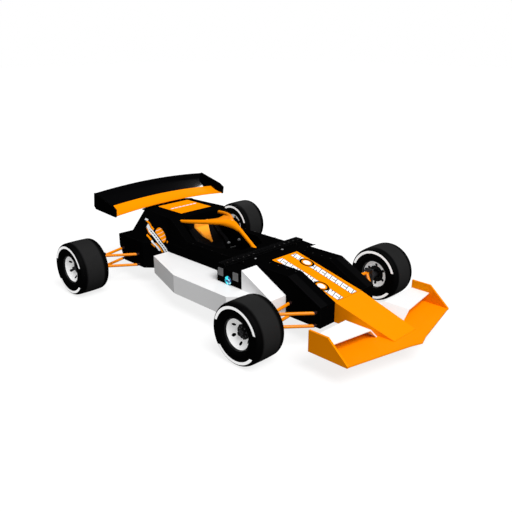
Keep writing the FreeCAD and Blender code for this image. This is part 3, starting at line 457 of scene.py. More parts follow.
def coated(name, colour, rough=0.32, rubbed_to=None, edge=1.0, dust=0.25, radius=0.004, coat=0.0,
           coat_rough=0.12, metal=0.0, level=0.5, ior=1.5, vary=0.12):
    """A finish with a body colour that drifts a little, rubbed edges, dust and rippled gloss.
    colour and coat are plain values or functions of the tree that give a field."""
    material, tree, shader = new_material(name)
    wear = use_group(tree, EDGES, Radius=radius, Amount=edge)
    life = use_group(tree, DUST, Dust=dust)
    mottle = socket(life, "Mottle")
    dusty = socket(life, "Dust")
    rubbed = socket(wear, "Rubbed")
    shade = (mottle * vary).blend(colour(tree) if callable(colour) else colour, (0.0, 0.0, 0.0))
    if rubbed_to:
        shade = rubbed.blend(shade, rubbed_to)
    feed_all(
        shader,
        Base_Color=dusty.blend(shade, DUST_COLOUR),
        Roughness=(mottle * 0.16 + rough - 0.08) + dusty * 0.3 + rubbed * 0.15,
        Metallic=metal,
        Specular_IOR_Level=level,
        IOR=ior,
        Coat_Weight=coat(tree) if callable(coat) else coat,
        Coat_Roughness=coat_rough,
    )
    add_relief(shader, socket(life, "Ripple") * RIPPLE, 0.35, 0.002, socket(wear, "Normal"))
    return material


# %% Give a finish to a piece


def give(piece, material):
    piece.data.materials.clear()
    piece.data.materials.append(material)


def paint_nodes(material, *names):
    """Give CAD nodes a material in place of their plain one."""
    for name in names:
        give(nodes[name], material)


def dress(piece, material, body, node=None):
    """Give a new piece its material, slot and body and, if it stands for a CAD node, hide that node."""
    give(piece, material)
    if node:
        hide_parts(node)
    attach(piece, body)
    return piece


# %% [markdown]
# ## The colour scheme
#
# Orange nose and front wing, white side pods, black body. Each panel of one node that has two
# colours gets them from its position: the rear wing's orange front band, the roof's patch, the
# slanted stripes behind the cockpit and the striped panel in front of it. Where a colour ends
# near an edge of a piece, its place comes from that piece's own box. The marks on the sides have
# places of their own.

# %% Colours
ORANGE = (0.94, 0.27, 0.0)
WHITE = (0.9, 0.9, 0.905)
BLACK = (0.0012, 0.0012, 0.0013)
PALE = (0.8, 0.82, 0.84)
RUBBED_BLACK = (0.02, 0.02, 0.021)
# width over which one colour turns into the next
SOFT_EDGE = 0.002

front_low, front_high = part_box("front_body")
roof_low, roof_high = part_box("engine_cover")
wing_low, wing_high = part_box("rear_wing_plane")
beam_low, beam_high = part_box("cross_beam")
nose_low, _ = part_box("nose_cone")
print("wing chord:", round(wing_high.x - wing_low.x, 3), "roof height:", round(roof_high.z, 3))

# %% Rear wing: an orange band along its leading edge
BAND_EDGE = wing_high.x - 0.246


def rear_wing_colours(tree):
    """Orange ahead of the band's edge, on the upper face only."""
    x, _, _ = place_axes(tree)
    _, _, up = facing_axes(tree)
    return (x.above(BAND_EDGE, SOFT_EDGE) * up.above(-0.2, 0.1)).blend((0.0006, 0.0006, 0.0009), ORANGE)


def wing_gloss(tree):
    """The clear coat lies on the black part behind the band."""
    x, _, _ = place_axes(tree)
    return x.below(BAND_EDGE, SOFT_EDGE) * 0.55


# %% Engine cover and rear case: roof patch and slanted side stripes
# on the roof: start and end along x, and half the width
PATCH = (roof_low.x + 0.131, roof_low.x + 0.638, 0.255)
BAR = (roof_low.x + 0.345, roof_low.x + 0.378, 0.215)
# on the sides, as (x, z): the point that the arcs go round and the middle of the oval
SWEEP = (-1.678, 0.335)
OVAL = (-1.335, 0.665)
OVAL_AXIS = (0.486, 0.874)
SIDE_START = -1.72
# each arc: the range of its distance from SWEEP, then where it ends along x and along z
ORANGE_ARCS = [
    ((0.451, 0.469), (-1.655, -1.435), None),
    ((0.401, 0.410), (-1.565, -1.44), None),
    ((0.369, 0.386), (-1.495, -1.412), None),
    ((0.387, 0.401), None, (0.44, 0.572)),
    ((0.350, 0.361), None, (0.512, 0.560)),
]
WHITE_ARCS = [
    ((0.411, 0.447), (-1.585, -1.2), None),
    ((0.366, 0.385), (-1.412, 0.0), (0.463, 0.604)),
    ((0.462, 0.482), (-1.70, -1.625), None),
]


def any_arc(arcs, sweep, x, z):
    """1 on every arc of a list and 0 elsewhere."""
    mask = Field(sweep.tree, 0.0)
    for ring, along, rise in arcs:
        arc = sweep.between(*ring)
        if along:
            arc = arc * x.between(*along, SOFT_EDGE)
        if rise:
            arc = arc * z.between(*rise, SOFT_EDGE)
        mask = mask.either(arc)
    return mask


def oval_and_ribs(x, z, sweep):
    """A slanted oval ahead of the arcs: 92 along^2 + 300 across^2 < 1, on axes that are turned by
    OVAL_AXIS. Its ribs are bowed lines, where 21 along + 60 across^2 passes a whole number."""
    dx, dz = x - OVAL[0], z - OVAL[1]
    along = dx * OVAL_AXIS[0] - dz * OVAL_AXIS[1]
    across = dx * OVAL_AXIS[1] + dz * OVAL_AXIS[0]
    inside = (along * along * 92.0 + across * across * 300.0).below(1.0, 0.05)
    oval = inside * sweep.above(0.456)
    return oval, (along * 21.0 + across * across * 60.0).beat().between(0.38, 0.52, 0.05) * oval


# %% Colours of the engine cover and the rear case


def cover_colours(tree):
    """The side stripes are arcs about one point low behind the wheel: sweep is the distance from
    it, sqrt(dx^2 + dz^2), and each stripe is a short range of it."""
    x, y, z = place_axes(tree)
    _, out, up = facing_axes(tree)
    beside = out.size().above(0.3, 0.02)
    sweep = distance(x - SWEEP[0], z - SWEEP[1])
    oval, ribs = oval_and_ribs(x, z, sweep)
    spot = x.between(-1.256, -1.237, SOFT_EDGE) * z.between(0.568, 0.602, SOFT_EDGE)
    orange = any_arc(ORANGE_ARCS, sweep, x, z).either(oval).either(spot)
    white = any_arc(WHITE_ARCS, sweep, x, z).either(ribs)
    rule = sweep.between(0.424, 0.436) * x.above(-1.49, SOFT_EDGE)
    rule = rule * (z * 30.0 - x * 12.0).beat().above(0.25, 0.05)
    roof = z.above(roof_high.z - 0.014) * up.above(0.85, 0.02)
    patch, bar = (
        x.between(start, stop, SOFT_EDGE) * y.size().below(half, SOFT_EDGE) * roof
        for start, stop, half in (PATCH, BAR)
    )
    return layered(
        BLACK,
        ((orange * beside * x.above(SIDE_START, SOFT_EDGE)).either(patch), ORANGE),
        (white * beside, PALE),
        (rule * beside, (0.02, 0.03, 0.035)),
        (bar * (y * 16.0 + x * 9.0).beat().above(0.16, 0.03), (0.75, 0.72, 0.9)),
    )


# %% Front body: an orange panel with two white bands and a disc on each
# half the panel's width at its rear and at its front
PANEL_HALF = (0.214, 0.230)
# distances from the middle of the car: a white band, and the black that frames it
BAND = (0.073, 0.164)
OUTLINE = (0.068, 0.169)
# the cuts between blocks: how many in a metre, and how far they slant
CUTS = 13.0
SLANT = 0.35
# the falling strips start this far ahead of the body's rear and this far from the middle
KNEE = 0.477
FALLING_EDGE = 0.348
# centres of the discs, and each ring's outer radius with its colour
DISCS = ((0.605, 0.119), (1.02, -0.119))
DISC_RINGS = ((0.083, BLACK), (0.060, ORANGE), (0.042, (0.92, 0.9, 0.88)))


def disc_coats(x, y):
    """Three rings about each centre, sqrt(0.8 dx^2 + dy^2) from it: black, orange and white."""
    coats = []
    for centre, middle in DISCS:
        dx, dy = x - centre, y - middle
        reach = (dx * dx * 0.8 + dy * dy).math("SQRT")
        coats += [(reach.below(radius, 0.0015), colour) for radius, colour in DISC_RINGS]
    return coats


# %% Colours of the front body


def front_colours(tree):
    """Across the panel, the distance from the middle picks the band. Along it, slanted cuts make
    blocks of the band, a dash splits every second block, and a row of fine ticks runs outside."""
    x, y, z = place_axes(tree)
    _, _, up = facing_axes(tree)
    start, stop = front_low.x, front_high.x
    half = (x - start) * ((PANEL_HALF[1] - PANEL_HALF[0]) / (stop - start)) + PANEL_HALF[0]
    width = y.size()
    panel = (half - width).above(0.0, SOFT_EDGE) * up.above(0.85, 0.01)
    panel = panel * z.below(front_high.z - 0.0008, 0.0004)
    slant = (x + y * SLANT) * CUTS
    beat = slant.beat()
    odd = (slant * 0.5).beat().above(0.5)
    blocks = width.between(*BAND, 0.0015) * x.between(start + 0.03, stop - 0.012, SOFT_EDGE)
    blocks = blocks * beat.between(0.06, 0.97, 0.015)
    dash = width.between(0.112, 0.124) * beat.between(0.30, 0.97, 0.01) * odd
    notch = width.between(BAND[0], 0.100) * beat.between(0.42, 0.56, 0.01) * (1.0 - odd)
    ticks = width.between(0.176, 0.184) * ((x + y) * 70.0).beat().above(0.45, 0.05)
    ticks = ticks * x.between(start + 0.25, stop - 0.1, SOFT_EDGE)
    outline = width.between(*OUTLINE, 0.0015) * x.between(start + 0.025, stop - 0.007, SOFT_EDGE)
    paint = layered(
        ORANGE,
        (outline, BLACK),
        (blocks * (1.0 - dash) * (1.0 - notch), (0.88, 0.88, 0.9)),
        (ticks, (0.05, 0.02, 0.0)),
        *disc_coats(x, y),
    )
    falling = width.above(FALLING_EDGE, SOFT_EDGE) * x.above(start + KNEE, SOFT_EDGE) * up.above(0.3, 0.05)
    return layered(BLACK, (falling, (0.003, 0.003, 0.0032)), (panel, paint))


# %% Nose and cross beam
HOLE_PITCH = 0.032


def nose_colours(tree):
    """A dark joint line where the nose meets the front body."""
    x, _, _ = place_axes(tree)
    return x.below(nose_low.x + 0.003, 0.0008).blend(ORANGE, (0.06, 0.02, 0.0))


def beam_colours(tree):
    """Two rows of faint rings along the top and one along the front: a distance to the nearest
    point of a row, which comes from the remainder of the place along it. A lighter line along
    the top is a painted highlight."""
    x, y, z = place_axes(tree)
    step = ((y / HOLE_PITCH).beat() - 0.5) * HOLE_PITCH
    rear, ahead = (distance(x - row, step) for row in (beam_low.x + 0.022, beam_high.x - 0.022))
    top = z.above(beam_high.z - 0.003)
    rings = rear.between(0.003, 0.0075).either(ahead.between(0.003, 0.0075)) * top
    face = distance(z - (beam_low.z + beam_high.z) * 0.5, step).between(0.002, 0.007)
    rings = rings.either(face * x.above(beam_high.x - 0.003))
    # a painted highlight: a lighter line along the top
    groove_with_painted_light = x.between(-0.006, 0.004) * top * 0.5
    return layered(BLACK, (rings, (0.014, 0.014, 0.015)), (groove_with_painted_light, (0.012, 0.012, 0.013)))


# %% Wishbones, steering wheel and seat
# how far from the middle the body's side stands at each end, a fitting's length from there,
# and the number of carbon yarns in a metre of the seat
BODY_WALL = {"front": 0.465, "rear": 0.700}
FITTING = 0.045
TWILL = 180.0
_, yoke_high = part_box("steering_wheel")


def arm_colours(end):
    """Orange tube, dark from the body wall out to the end of its fitting."""

    def colours(tree):
        _, y, _ = place_axes(tree)
        return y.size().below(BODY_WALL[end] + FITTING, 0.003).blend(ORANGE, (0.03, 0.012, 0.012))

    return colours


def yoke_colours(tree):
    """Pale tips on a dark yoke."""
    _, y, z = place_axes(tree)
    tips = y.size().above(0.062, 0.003) * z.above(yoke_high.z - 0.022, 0.003)
    return tips.blend((0.0015, 0.0015, 0.0017), (0.17, 0.17, 0.175))


def seat_colours(tree):
    """A carbon twill: the sum of two remainders, offset for each yarn, picks over or under."""
    x, y, z = place_axes(tree)
    first = ((y + z * 0.5) * TWILL).beat()
    second = ((x + z * 0.5) * TWILL).beat()
    over = (first + second).beat().above(0.5, 0.1)
    return over.blend((0.0018, 0.0018, 0.0021), (0.0052, 0.0052, 0.0058))


# %% Mix the paints, metals and plastics
ORANGE_WEAR = dict(rubbed_to=(0.9, 0.35, 0.03), edge=0.3, dust=0.008, ior=1.06, vary=0.05)
BLACK_WEAR = dict(rubbed_to=RUBBED_BLACK, dust=0.001, level=0.0)
orange_paint = coated("orange paint", ORANGE, rough=0.36, **ORANGE_WEAR)
nose_paint = coated("nose paint", nose_colours, rough=0.38, **ORANGE_WEAR)
halo_paint = coated("halo paint", ORANGE, rough=0.26, rubbed_to=(0.92, 0.3, 0.01), edge=0.2,
                    dust=0.0, ior=1.12, vary=0.04)
white_paint = coated("white paint", WHITE, rough=0.36, rubbed_to=(0.6, 0.6, 0.6), edge=0.3,
                     dust=0.06, level=0.25, vary=0.03)
black_paint = coated("black paint", BLACK, rough=0.45, edge=0.7, **BLACK_WEAR)
beam_paint = coated("beam paint", beam_colours, rough=0.42, edge=0.7, **BLACK_WEAR)
cover_paint, front_paint = (
    coated(name, colours, rough=0.42, edge=0.5, vary=0.05, **BLACK_WEAR)
    for name, colours in (("engine cover paint", cover_colours), ("front body paint", front_colours))
)
wing_paint = coated("rear wing paint", rear_wing_colours, rough=0.38, rubbed_to=(0.02, 0.016, 0.012),
                    edge=0.4, dust=0.001, ior=1.03, coat=wing_gloss, coat_rough=0.09, vary=0.04)
dark_metal = coated("dark steel", (0.05, 0.05, 0.056), rough=0.4, metal=0.7,
                    rubbed_to=(0.2, 0.2, 0.2), dust=0.04)
grey_metal = coated("grey bolt steel", (0.16, 0.16, 0.165), rough=0.4, metal=0.5, edge=0.3, dust=0.02)
board = coated("floor board", (0.07, 0.05, 0.035), rough=0.6, edge=0.3, dust=0.2)
carbon = coated("carbon shell", seat_colours, rough=0.3, rubbed_to=(0.012, 0.012, 0.012), edge=0.4,
                dust=0.004, level=0.1)
plate_grey = coated("grey cheek plate", (0.16, 0.16, 0.162), rough=0.5, rubbed_to=(0.3, 0.3, 0.3),
                    edge=0.4, dust=0.02, level=0.2)
yoke_paint = coated("yoke plastic", yoke_colours, rough=0.5, rubbed_to=(0.006, 0.006, 0.006),
                    edge=0.1, dust=0.001, level=0.03)
hub_black = coated("hub black", (0.0025, 0.0025, 0.0027), rough=0.5, rubbed_to=(0.04, 0.04, 0.04),
                   edge=0.6, dust=0.01, level=0.1)
arm_paint = {end: coated(f"{end} arm paint", arm_colours(end), rough=0.32, rubbed_to=(0.5, 0.35, 0.2),
                         edge=0.3, dust=0.04, level=0.3, radius=0.002, vary=0.05) for end in ENDS}


def lens_material():
    """A lit lens: bright facets in cyan water. Cells of a Voronoi pattern light up by chance."""
    material, tree, shader = new_material("lit lens")
    cells = tree.nodes.new("ShaderNodeTexVoronoi")
    feed_all(cells, Scale=60.0, Vector=own_place(tree))
    first, second, _ = split(socket(cells, "Color"))
    glow = first.above(0.45, 0.25).blend((0.0, 0.03, 0.12), (0.0, 0.75, 0.85))
    glow = second.above(0.82, 0.1).blend(glow, (0.45, 0.75, 0.85))
    feed_all(shader, Base_Color=glow, Emission_Color=glow, Emission_Strength=0.85, Roughness=0.15)
    return material


# %% Paint the CAD nodes


def pair(name):
    return [f"{name}_{side}" for side in SIDES]


paint_nodes(orange_paint, "front_wing_plane", *pair("front_endplate"))
paint_nodes(nose_paint, "nose_cone")
paint_nodes(white_paint, *pair("side_pod"), *pair("side_fairing"), *pair("front_flap"))
paint_nodes(black_paint, "cockpit_tub", *pair("rear_endplate"), *pair("lamp_housing"))
paint_nodes(beam_paint, "cross_beam")
paint_nodes(cover_paint, "engine_cover", "rear_case")
paint_nodes(front_paint, "front_body")
paint_nodes(dark_metal, "engine_block", "wing_pylons", "column_bracket")
paint_nodes(board, "floor_plank")
paint_nodes(carbon, "seat")
paint_nodes(lens_material(), "lamp_lenses")
print("materials:", len(bpy.data.materials))

# %% [markdown]
# ## Smooth copies of the round parts
#
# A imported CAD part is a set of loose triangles, so a tube looks faceted close up. A copy whose
# corners are joined can be shaded smooth where its faces meet at a small angle, and keeps its
# crisp edges elsewhere. The copy has the same points, so nothing changes in size.

# %% Joined copies that stand for their nodes


def joined_copy(node, name):
    """The node's triangles as a new object whose shared corners are one point each."""
    piece = bpy.data.objects.new(name, nodes[node].data.copy())
    bpy.context.scene.collection.objects.link(piece)
    stored = piece.data.attributes.get("custom_normal")
    if stored is not None:
        piece.data.attributes.remove(stored)
    return weld(piece, 2e-5, outward=False)


def applied(piece):
    """Give the piece the mesh that its modifiers make, and take the modifiers off."""
    graph = bpy.context.evaluated_depsgraph_get()
    piece.data = bpy.data.meshes.new_from_object(piece.evaluated_get(graph))
    piece.modifiers.clear()
    return piece


def smooth_stand_in(node, body, material, angle=28):
    piece = soften(joined_copy(node, f"{node}_smooth"), angle)
    return dress(piece, material, body, node)


for end, side in CORNERS:
    arm = smooth_stand_in(f"wishbones_{end}_{side}", "chassis", arm_paint[end])
    carrier = "chassis" if end == "rear" else f"knuckle_{side}"
    smooth_stand_in(f"upright_{end}_{side}", carrier, dark_metal)
smooth_stand_in("steering_wheel", "steering", yoke_paint)
wing = smooth_stand_in("rear_wing_plane", "chassis", wing_paint, 20)
print("arm faces:", len(arm.data.polygons), "wing faces:", len(wing.data.polygons))

# %% [markdown]
# ## Tyres
#
# A wide slick looks like a barrel: its character is in the shoulders, where the tread falls
# away over the last sixty millimetres before it meets the side. A turned profile with a quarter
# of an ellipse for the shoulder gives that round, which the CAD's flat bands only approach.

# %% Tyre profile
TREAD = 0.335
HALF = 0.193
SHOULDER_RUN = 0.060
SHOULDER_DROP = 0.034
BEAD = 0.1783
# radii of the painted arcs, and the heights from the axle below and above which they lie
STRIPE = (0.272, 0.303)
ARC_ENDS = (-0.172, 0.088)
# the side, from the bead out: depth below the tyre's widest plane, and radius
SIDE_WALL = [(0.0262, BEAD), (0.0212, BEAD + 0.006), (0.012, BEAD + 0.012), (0.006, BEAD + 0.020),
             (0.0022, BEAD + 0.030), (0.0012, 0.2175), (0.0002, 0.2185), (0.0002, 0.2245),
             (0.0014, 0.2255), (0.0012, 0.262), (0.0008, 0.29)]


def tyre_profile():
    """(along, radius) from the outer bead over the tread to the inner bead and back through the
    bore. The shoulder is a quarter of an ellipse, and the tread drops nearly 3 mm to its edges."""
    side = [(HALF - depth, radius) for depth, radius in SIDE_WALL]
    turn = np.radians(np.linspace(2, 88, 16))
    shoulder = [(HALF - SHOULDER_RUN * (1 - c) - 0.0005, TREAD - 0.003 - SHOULDER_DROP * (1 - s))
                for c, s in zip(np.cos(turn), np.sin(turn))]
    flat = HALF - SHOULDER_RUN
    crown = [(a, TREAD - 0.0004 - 0.0026 * (a / flat) ** 2) for a in (0.115, 0.080, 0.040)]
    half = side + shoulder + crown
    inner = [(-a, r) for a, r in reversed(half)]
    return half + [(0.0, TREAD - 0.0003)] + inner + [half[0]]


# %% Tyre material


def tyre_material():
    """Near-black rubber with a grey tread. The grey stops well short of the shoulders, so the
    shoulders are painted shade where the tread turns away from the light, and the white arcs
    glow a little as painted light. The stored dial gives the place on the wheel's face and the
    distance from the tyre's middle plane, so the painted arcs follow the wheel."""
    material, tree, shader = new_material("tyre rubber")
    across, up, off = stored_axes(tree, "dial")
    radius = distance(across, up)
    noise = grain(tree, 30.0, 5)
    parts = up.above(ARC_ENDS[1], 0.003).either(up.below(ARC_ENDS[0], 0.003))
    arcs = (radius + (noise - 0.5) * 0.0008).between(*STRIPE, 0.0012) * parts
    stripe = arcs * off.above(0.15, 0.005)
    worn = grain(tree, 120.0, 3).above(0.22, 0.1)
    # the grey tread ends short of the shoulders: the dark shoulders are painted shade
    tread = off.below(HALF - SHOULDER_RUN - 0.002, 0.028) * radius.above(TREAD - 0.03, 0.005)
    scuff = grain(tree, 14.0, 6, roughness=0.7) * 0.5 + 0.75
    black = (tread * scuff).blend((0.0009, 0.0009, 0.0010), (0.0152, 0.0152, 0.0154))
    feed_all(
        shader,
        Base_Color=(stripe * worn).blend(black, (0.88, 0.88, 0.88)),
        # the white arcs glow a little: painted light
        Emission_Color=stripe.blend((0.0, 0.0, 0.0), (0.9, 0.9, 0.9)),
        Emission_Strength=0.4,
        Roughness=noise * 0.15 + 0.6,
        Specular_IOR_Level=0.04,
    )
    rings = (radius * 900.0).math("SINE") * 0.15 * (1.0 - tread)
    fine = grain(tree, 420.0, 2) * tread * 0.5
    add_relief(shader, rings + noise * 0.6 + fine, 0.5, 0.0012)
    return material


rubber = tyre_material()

# %% Fit the four tyres


def wheel_centre(end, side):
    return np.array(joints[f"spin_{end}_{side}"]["pos_m"], float)


def make_tyre(end, side):
    centre = wheel_centre(end, side)
    axis = (0, SIDES[side], 0)
    piece = turned_piece(f"tyre_rubber_{end}_{side}", tyre_profile(), centre, axis, 180)
    place = mesh_points(piece) - centre
    store(piece, "dial", np.stack([place[:, 0], place[:, 2], np.abs(place[:, 1])], -1))
    return dress(piece, rubber, f"wheel_{end}_{side}", f"tyre_{end}_{side}")


for end, side in CORNERS:
    tyre = make_tyre(end, side)
print("tyre faces:", len(tyre.data.polygons))

# %% [markdown]
# ## Wheel faces
#
# The wheel's face is a deep white dish with a ring of holes round a dark hub. The whole rim is
# one turned shape: barrel, lip, a curved cone that runs nearly eight centimetres in, and a hub.
# The holes are drilled by taking a ring of cylinders away from it. On the inner side the rim is
# an open barrel, so a thin dished ring closes it, with a middle hole for the axle. Its holes
# and its wide dark middle are painted shade.

# %% Rim finish, measured from the wheel's own middle
RIM_FLOOR = HALF - 0.076
HUB_RADIUS = 0.080
# radius of the inner ring's dark middle: painted shade
INNER_SHADE_RADIUS = 0.102
WHITE_EDGE = 0.1635
HOLES = 6
HOLE_CIRCLE = 0.117
HOLE_RADIUS = 0.0175
HOLE_TURN = math.radians(29)
HOLE_ANGLE = FULL_TURN / HOLES
HUB_DEPTH = 0.066
BOLT_SEAT = 0.0795
NUT_SEAT = 0.0985


def hole_shade_distance(x, z, radius):
    """Distance from the nearest hole's middle: the angle's remainder after whole steps of one
    hole gives an angle off that hole, and cosine and sine turn it back into a place. The inner
    ring has no holes, so dark spots are painted in their place as painted shade."""
    off = ((z.math("ARCTAN2", x) / HOLE_ANGLE).beat() - 0.5) * HOLE_ANGLE
    return distance(radius * off.math("COSINE") - HOLE_CIRCLE, radius * off.math("SINE"))


def rim_material(end, side, inner=False):
    """White where the face looks out and lies outside the hub. The rest is dark: the hub, and the
    barrel and backs that face inward, which are painted shade. The hub's ragged edge and, on the
    inner ring, its wide dark middle and dark spots for holes are painted shade too. The white
    glows a little, as painted light. A Mapping node moves the coordinates to the wheel's centre,
    so radius is a plain distance."""
    material, tree, shader = new_material(f"wheel face {end} {side}{' inner' if inner else ''}")
    mapping = tree.nodes.new("ShaderNodeMapping")
    feed_all(mapping, Vector=own_place(tree), Location=tuple(-wheel_centre(end, side)))
    x, y, z = split(socket(mapping, "Vector"))
    radius = distance(x, z)
    facing = float(SIDES[side] * (-1 if inner else 1))
    _, out, _ = facing_axes(tree)
    ragged = radius + (grain(tree, 45.0, 3) - 0.5) * 0.02
    # the hub is dark; its ragged edge and the inner ring's wider middle spread painted shade into the dish
    white = ragged.above(INNER_SHADE_RADIUS if inner else HUB_RADIUS, 0.002) * radius.below(WHITE_EDGE, 0.0015)
    # white only on faces that look out: the barrel and the dish's back are left dark as painted shade
    white = white * (y * facing).above(HUB_DEPTH + 0.002, 0.002) * (out * facing).above(0.1, 0.05)
    if inner:
        # dark spots for holes: painted shade where the inner ring has no holes
        white = white * hole_shade_distance(x, z, radius).above(HOLE_RADIUS, 0.002)
    grime = grain(tree, 26.0, 6, roughness=0.7)
    dark = grime.blend((0.002, 0.002, 0.0022), (0.012, 0.012, 0.0125))
    rim_dust = grime.above(0.62, 0.2) * radius.below(0.12, 0.04) * 0.35
    feed_all(
        shader,
        Base_Color=layered(dark, (white, (0.9, 0.9, 0.9)), (rim_dust, (0.2, 0.19, 0.18))),
        # the white glows a little: painted light
        Emission_Color=white.blend((0.0, 0.0, 0.0), (0.9, 0.9, 0.9)),
        Emission_Strength=0.25,
        Roughness=grime * 0.2 + 0.3,
        Specular_IOR_Level=0.2,
        Normal=socket(use_group(tree, EDGES, Radius=0.002, Amount=0.3), "Normal"),
    )
    return material


# %% Profiles of the wheel's pieces, as (along, radius)
BORE = 0.0202
BARREL_OUT = 0.1779
BARREL_IN = 0.1687
NUT = [(0.0265, 0.0), (0.0265, 0.008), (0.034, 0.009), (0.034, 0.019), (0.031, 0.023), (0.004, 0.023),
       (0.002, 0.027), (-0.002, 0.027), (-0.002, 0.0)]
HUB_BOLT = [(0.007, 0.0), (0.007, 0.0042), (0.0055, 0.006), (-0.001, 0.006), (-0.001, 0.0)]
DRILL = [(0.03, 0.0), (0.03, HOLE_RADIUS), (0.17, HOLE_RADIUS), (0.17, 0.0)]
INNER_RING = [(-0.004, 0.052), (0.006, 0.052), (0.007, 0.056), (0.001, 0.062), (0.0, 0.080),
              (0.004, 0.120), (0.012, 0.150), (0.022, 0.1655), (0.024, 0.1675), (0.018, 0.1675),
              (0.006, 0.150), (-0.004, 0.120), (-0.004, 0.052)]


def rim_profile():
    """From the inner edge over the barrel to the lip, down the dish to the hub and back inside.
    The dish follows along = 0.072 + 0.076 * share^1.15, where share goes from 1 to 0."""
    share = np.linspace(1, 0, 12)
    dish = [(0.072 + 0.076 * s**1.15, HUB_RADIUS + 0.0825 * s) for s in share]
    lip = [(-0.1673, BARREL_OUT), (0.1673, BARREL_OUT), (0.1673, 0.1712), (0.1655, 0.1695),
           (0.1600, 0.1690), (0.1545, 0.1672), (0.1505, 0.1645)]
    hub = [(0.0695, 0.0785), (HUB_DEPTH + 0.0005, 0.0760), (HUB_DEPTH, 0.0640), (0.0775, 0.0630),
           (BOLT_SEAT, 0.0610), (BOLT_SEAT, 0.0385), (0.0965, 0.0370), (NUT_SEAT, 0.0350),
           (NUT_SEAT, BORE)]
    inside = [(-0.0670, BORE), (-0.0670, 0.0430), (-0.0650, 0.0450), (0.0400, 0.0450),
              (0.0550, 0.0700), (0.0640, 0.0880), (0.1330, 0.1600), (0.1380, BARREL_IN),
              (-0.1673, BARREL_IN)]
    return lip + dish + hub + inside + [lip[0]]


# %% Build the four wheels


def drilled_rim(name, centre, out):
    """The turned rim, less a ring of cylinders that go through its dish."""
    rim = turned_piece(name, rim_profile(), centre, out, 120)
    drill = scattered("drill", DRILL, centre + ring_of(HOLES, HOLE_CIRCLE, HOLE_TURN), out, 28)
    cut = rim.modifiers.new("drill", "BOOLEAN")
    cut.operation = "DIFFERENCE"
    cut.solver = "EXACT"
    cut.object = drill
    applied(rim)
    bpy.data.objects.remove(drill)
    return soften(rim, 28)


def make_wheel(end, side):
    """The nut on the axle, a ring of eight hub bolts, the rim and the ring that closes it."""
    corner = f"{end}_{side}"
    centre = wheel_centre(end, side)
    out = np.array([0.0, SIDES[side], 0.0])
    nut = turned_piece(f"wheel_nut_{corner}", NUT, centre + out * NUT_SEAT, out, 72, hexagon)
    places = centre + out * BOLT_SEAT + ring_of(8, 0.052, 0.2)
    bolts = scattered(f"hub_bolts_{corner}", HUB_BOLT, places, out, 24, hexagon)
    rim = drilled_rim(f"wheel_rim_{corner}", centre, out)
    ring = [(RIM_FLOOR + depth, radius) for depth, radius in INNER_RING]
    disc = turned_piece(f"wheel_inner_face_{corner}", ring, centre, -out, 120)
    finishes = (dark_metal, grey_metal, rim_material(end, side), rim_material(end, side, inner=True))
    for piece, finish in zip((nut, bolts, rim, disc), finishes):
        dress(piece, finish, f"wheel_{corner}", f"rim_{corner}" if piece is rim else None)
    return rim, disc


for end, side in CORNERS:
    rim, disc = make_wheel(end, side)
print("rim faces:", len(rim.data.polygons), "inner face:", len(disc.data.polygons))

# %% [markdown]
# ## The halo
#
# The guard over the cockpit is one flowing casting: two arms, a thick neck with a web in its
# fork and a leg down to the deck. The CAD gives its size in short straight lengths. Here a
# voxel remesh gives it one even skin, and many rounds of averaging melt the joints together,
# as a smith would file them. Averaging makes thin tubes thinner, so the arms are mostly held
# and the ends stay, and only the neck and the leg move freely.

# %% Even skin and averaging


def even_skin(piece, size):
    remesh = piece.modifiers.new("even skin", "REMESH")
    remesh.mode = "VOXEL"
    remesh.voxel_size = size
    return applied(piece)


def averaged(piece, rounds, hold, back=None):
    """Move each point half of the way to the mean of its neighbours and then, if back is given,
    by that share the other way. hold is 1 for points that stay and 0 for free ones."""
    points = mesh_points(piece)
    edges = np.zeros(len(piece.data.edges) * 2, np.int32)
    piece.data.edges.foreach_get("vertices", edges)
    edges = edges.reshape(-1, 2)
    both = np.concatenate([edges, edges[:, ::-1]])
    count = np.bincount(both[:, 0], minlength=len(points))[:, None]
    for share in ([0.5, -back] if back else [0.5]) * rounds:
        columns = [np.bincount(both[:, 0], points[both[:, 1], axis], len(points)) for axis in range(3)]
        points += (1 - hold)[:, None] * share * (np.stack(columns, -1) / count - points)
    return points


# %% The neck where the arms and the leg flow together
# each slab: place along x, half width, top, foot, and how far its ends sweep back
NECK = [(-0.775, 0.158, 0.910, 0.860, 0.085), (-0.715, 0.152, 0.921, 0.856, 0.060),
        (-0.640, 0.118, 0.927, 0.850, 0.020), (-0.580, 0.084, 0.928, 0.838, 0.008),
        (-0.520, 0.058, 0.917, 0.829, 0.0), (-0.460, 0.042, 0.893, 0.818, 0.0),
        (-0.400, 0.032, 0.860, 0.797, 0.0)]


def neck_body(name, steps=48):
    """A loft of rounded slabs. Round each slab, side = |cos t|^0.55 and up = |sin t|^0.75 with the
    signs of the cosine and sine: y = half * side and x = place - sweep * side^2."""
    place, half, top, foot, swept = np.array(NECK).T[:, :, None]
    turn = np.linspace(0, FULL_TURN, steps + 1)[None, :]
    rise, run = np.sin(turn), np.cos(turn)
    side = np.sign(run) * np.abs(run) ** 0.55
    up = np.sign(rise) * np.abs(rise) ** 0.75
    height = (top + foot) / 2 + (top - foot) / 2 * up
    grid = np.stack([place - swept * side**2, half * side, height], -1)
    caps = [np.repeat(grid[end].mean(0)[None], steps + 1, 0)[None] for end in (0, -1)]
    grid = np.concatenate([caps[0], grid, caps[1]])
    return weld(piece_from_arrays(name, grid.reshape(-1, 3), grid_quads(len(grid), steps + 1)))


def united(first, second):
    """Both meshes in the first object. The remesh that follows makes one skin of them."""
    shape = bmesh.new()
    shape.from_mesh(first.data)
    shape.from_mesh(second.data)
    shape.to_mesh(first.data)
    shape.free()
    bpy.data.objects.remove(second)
    return first


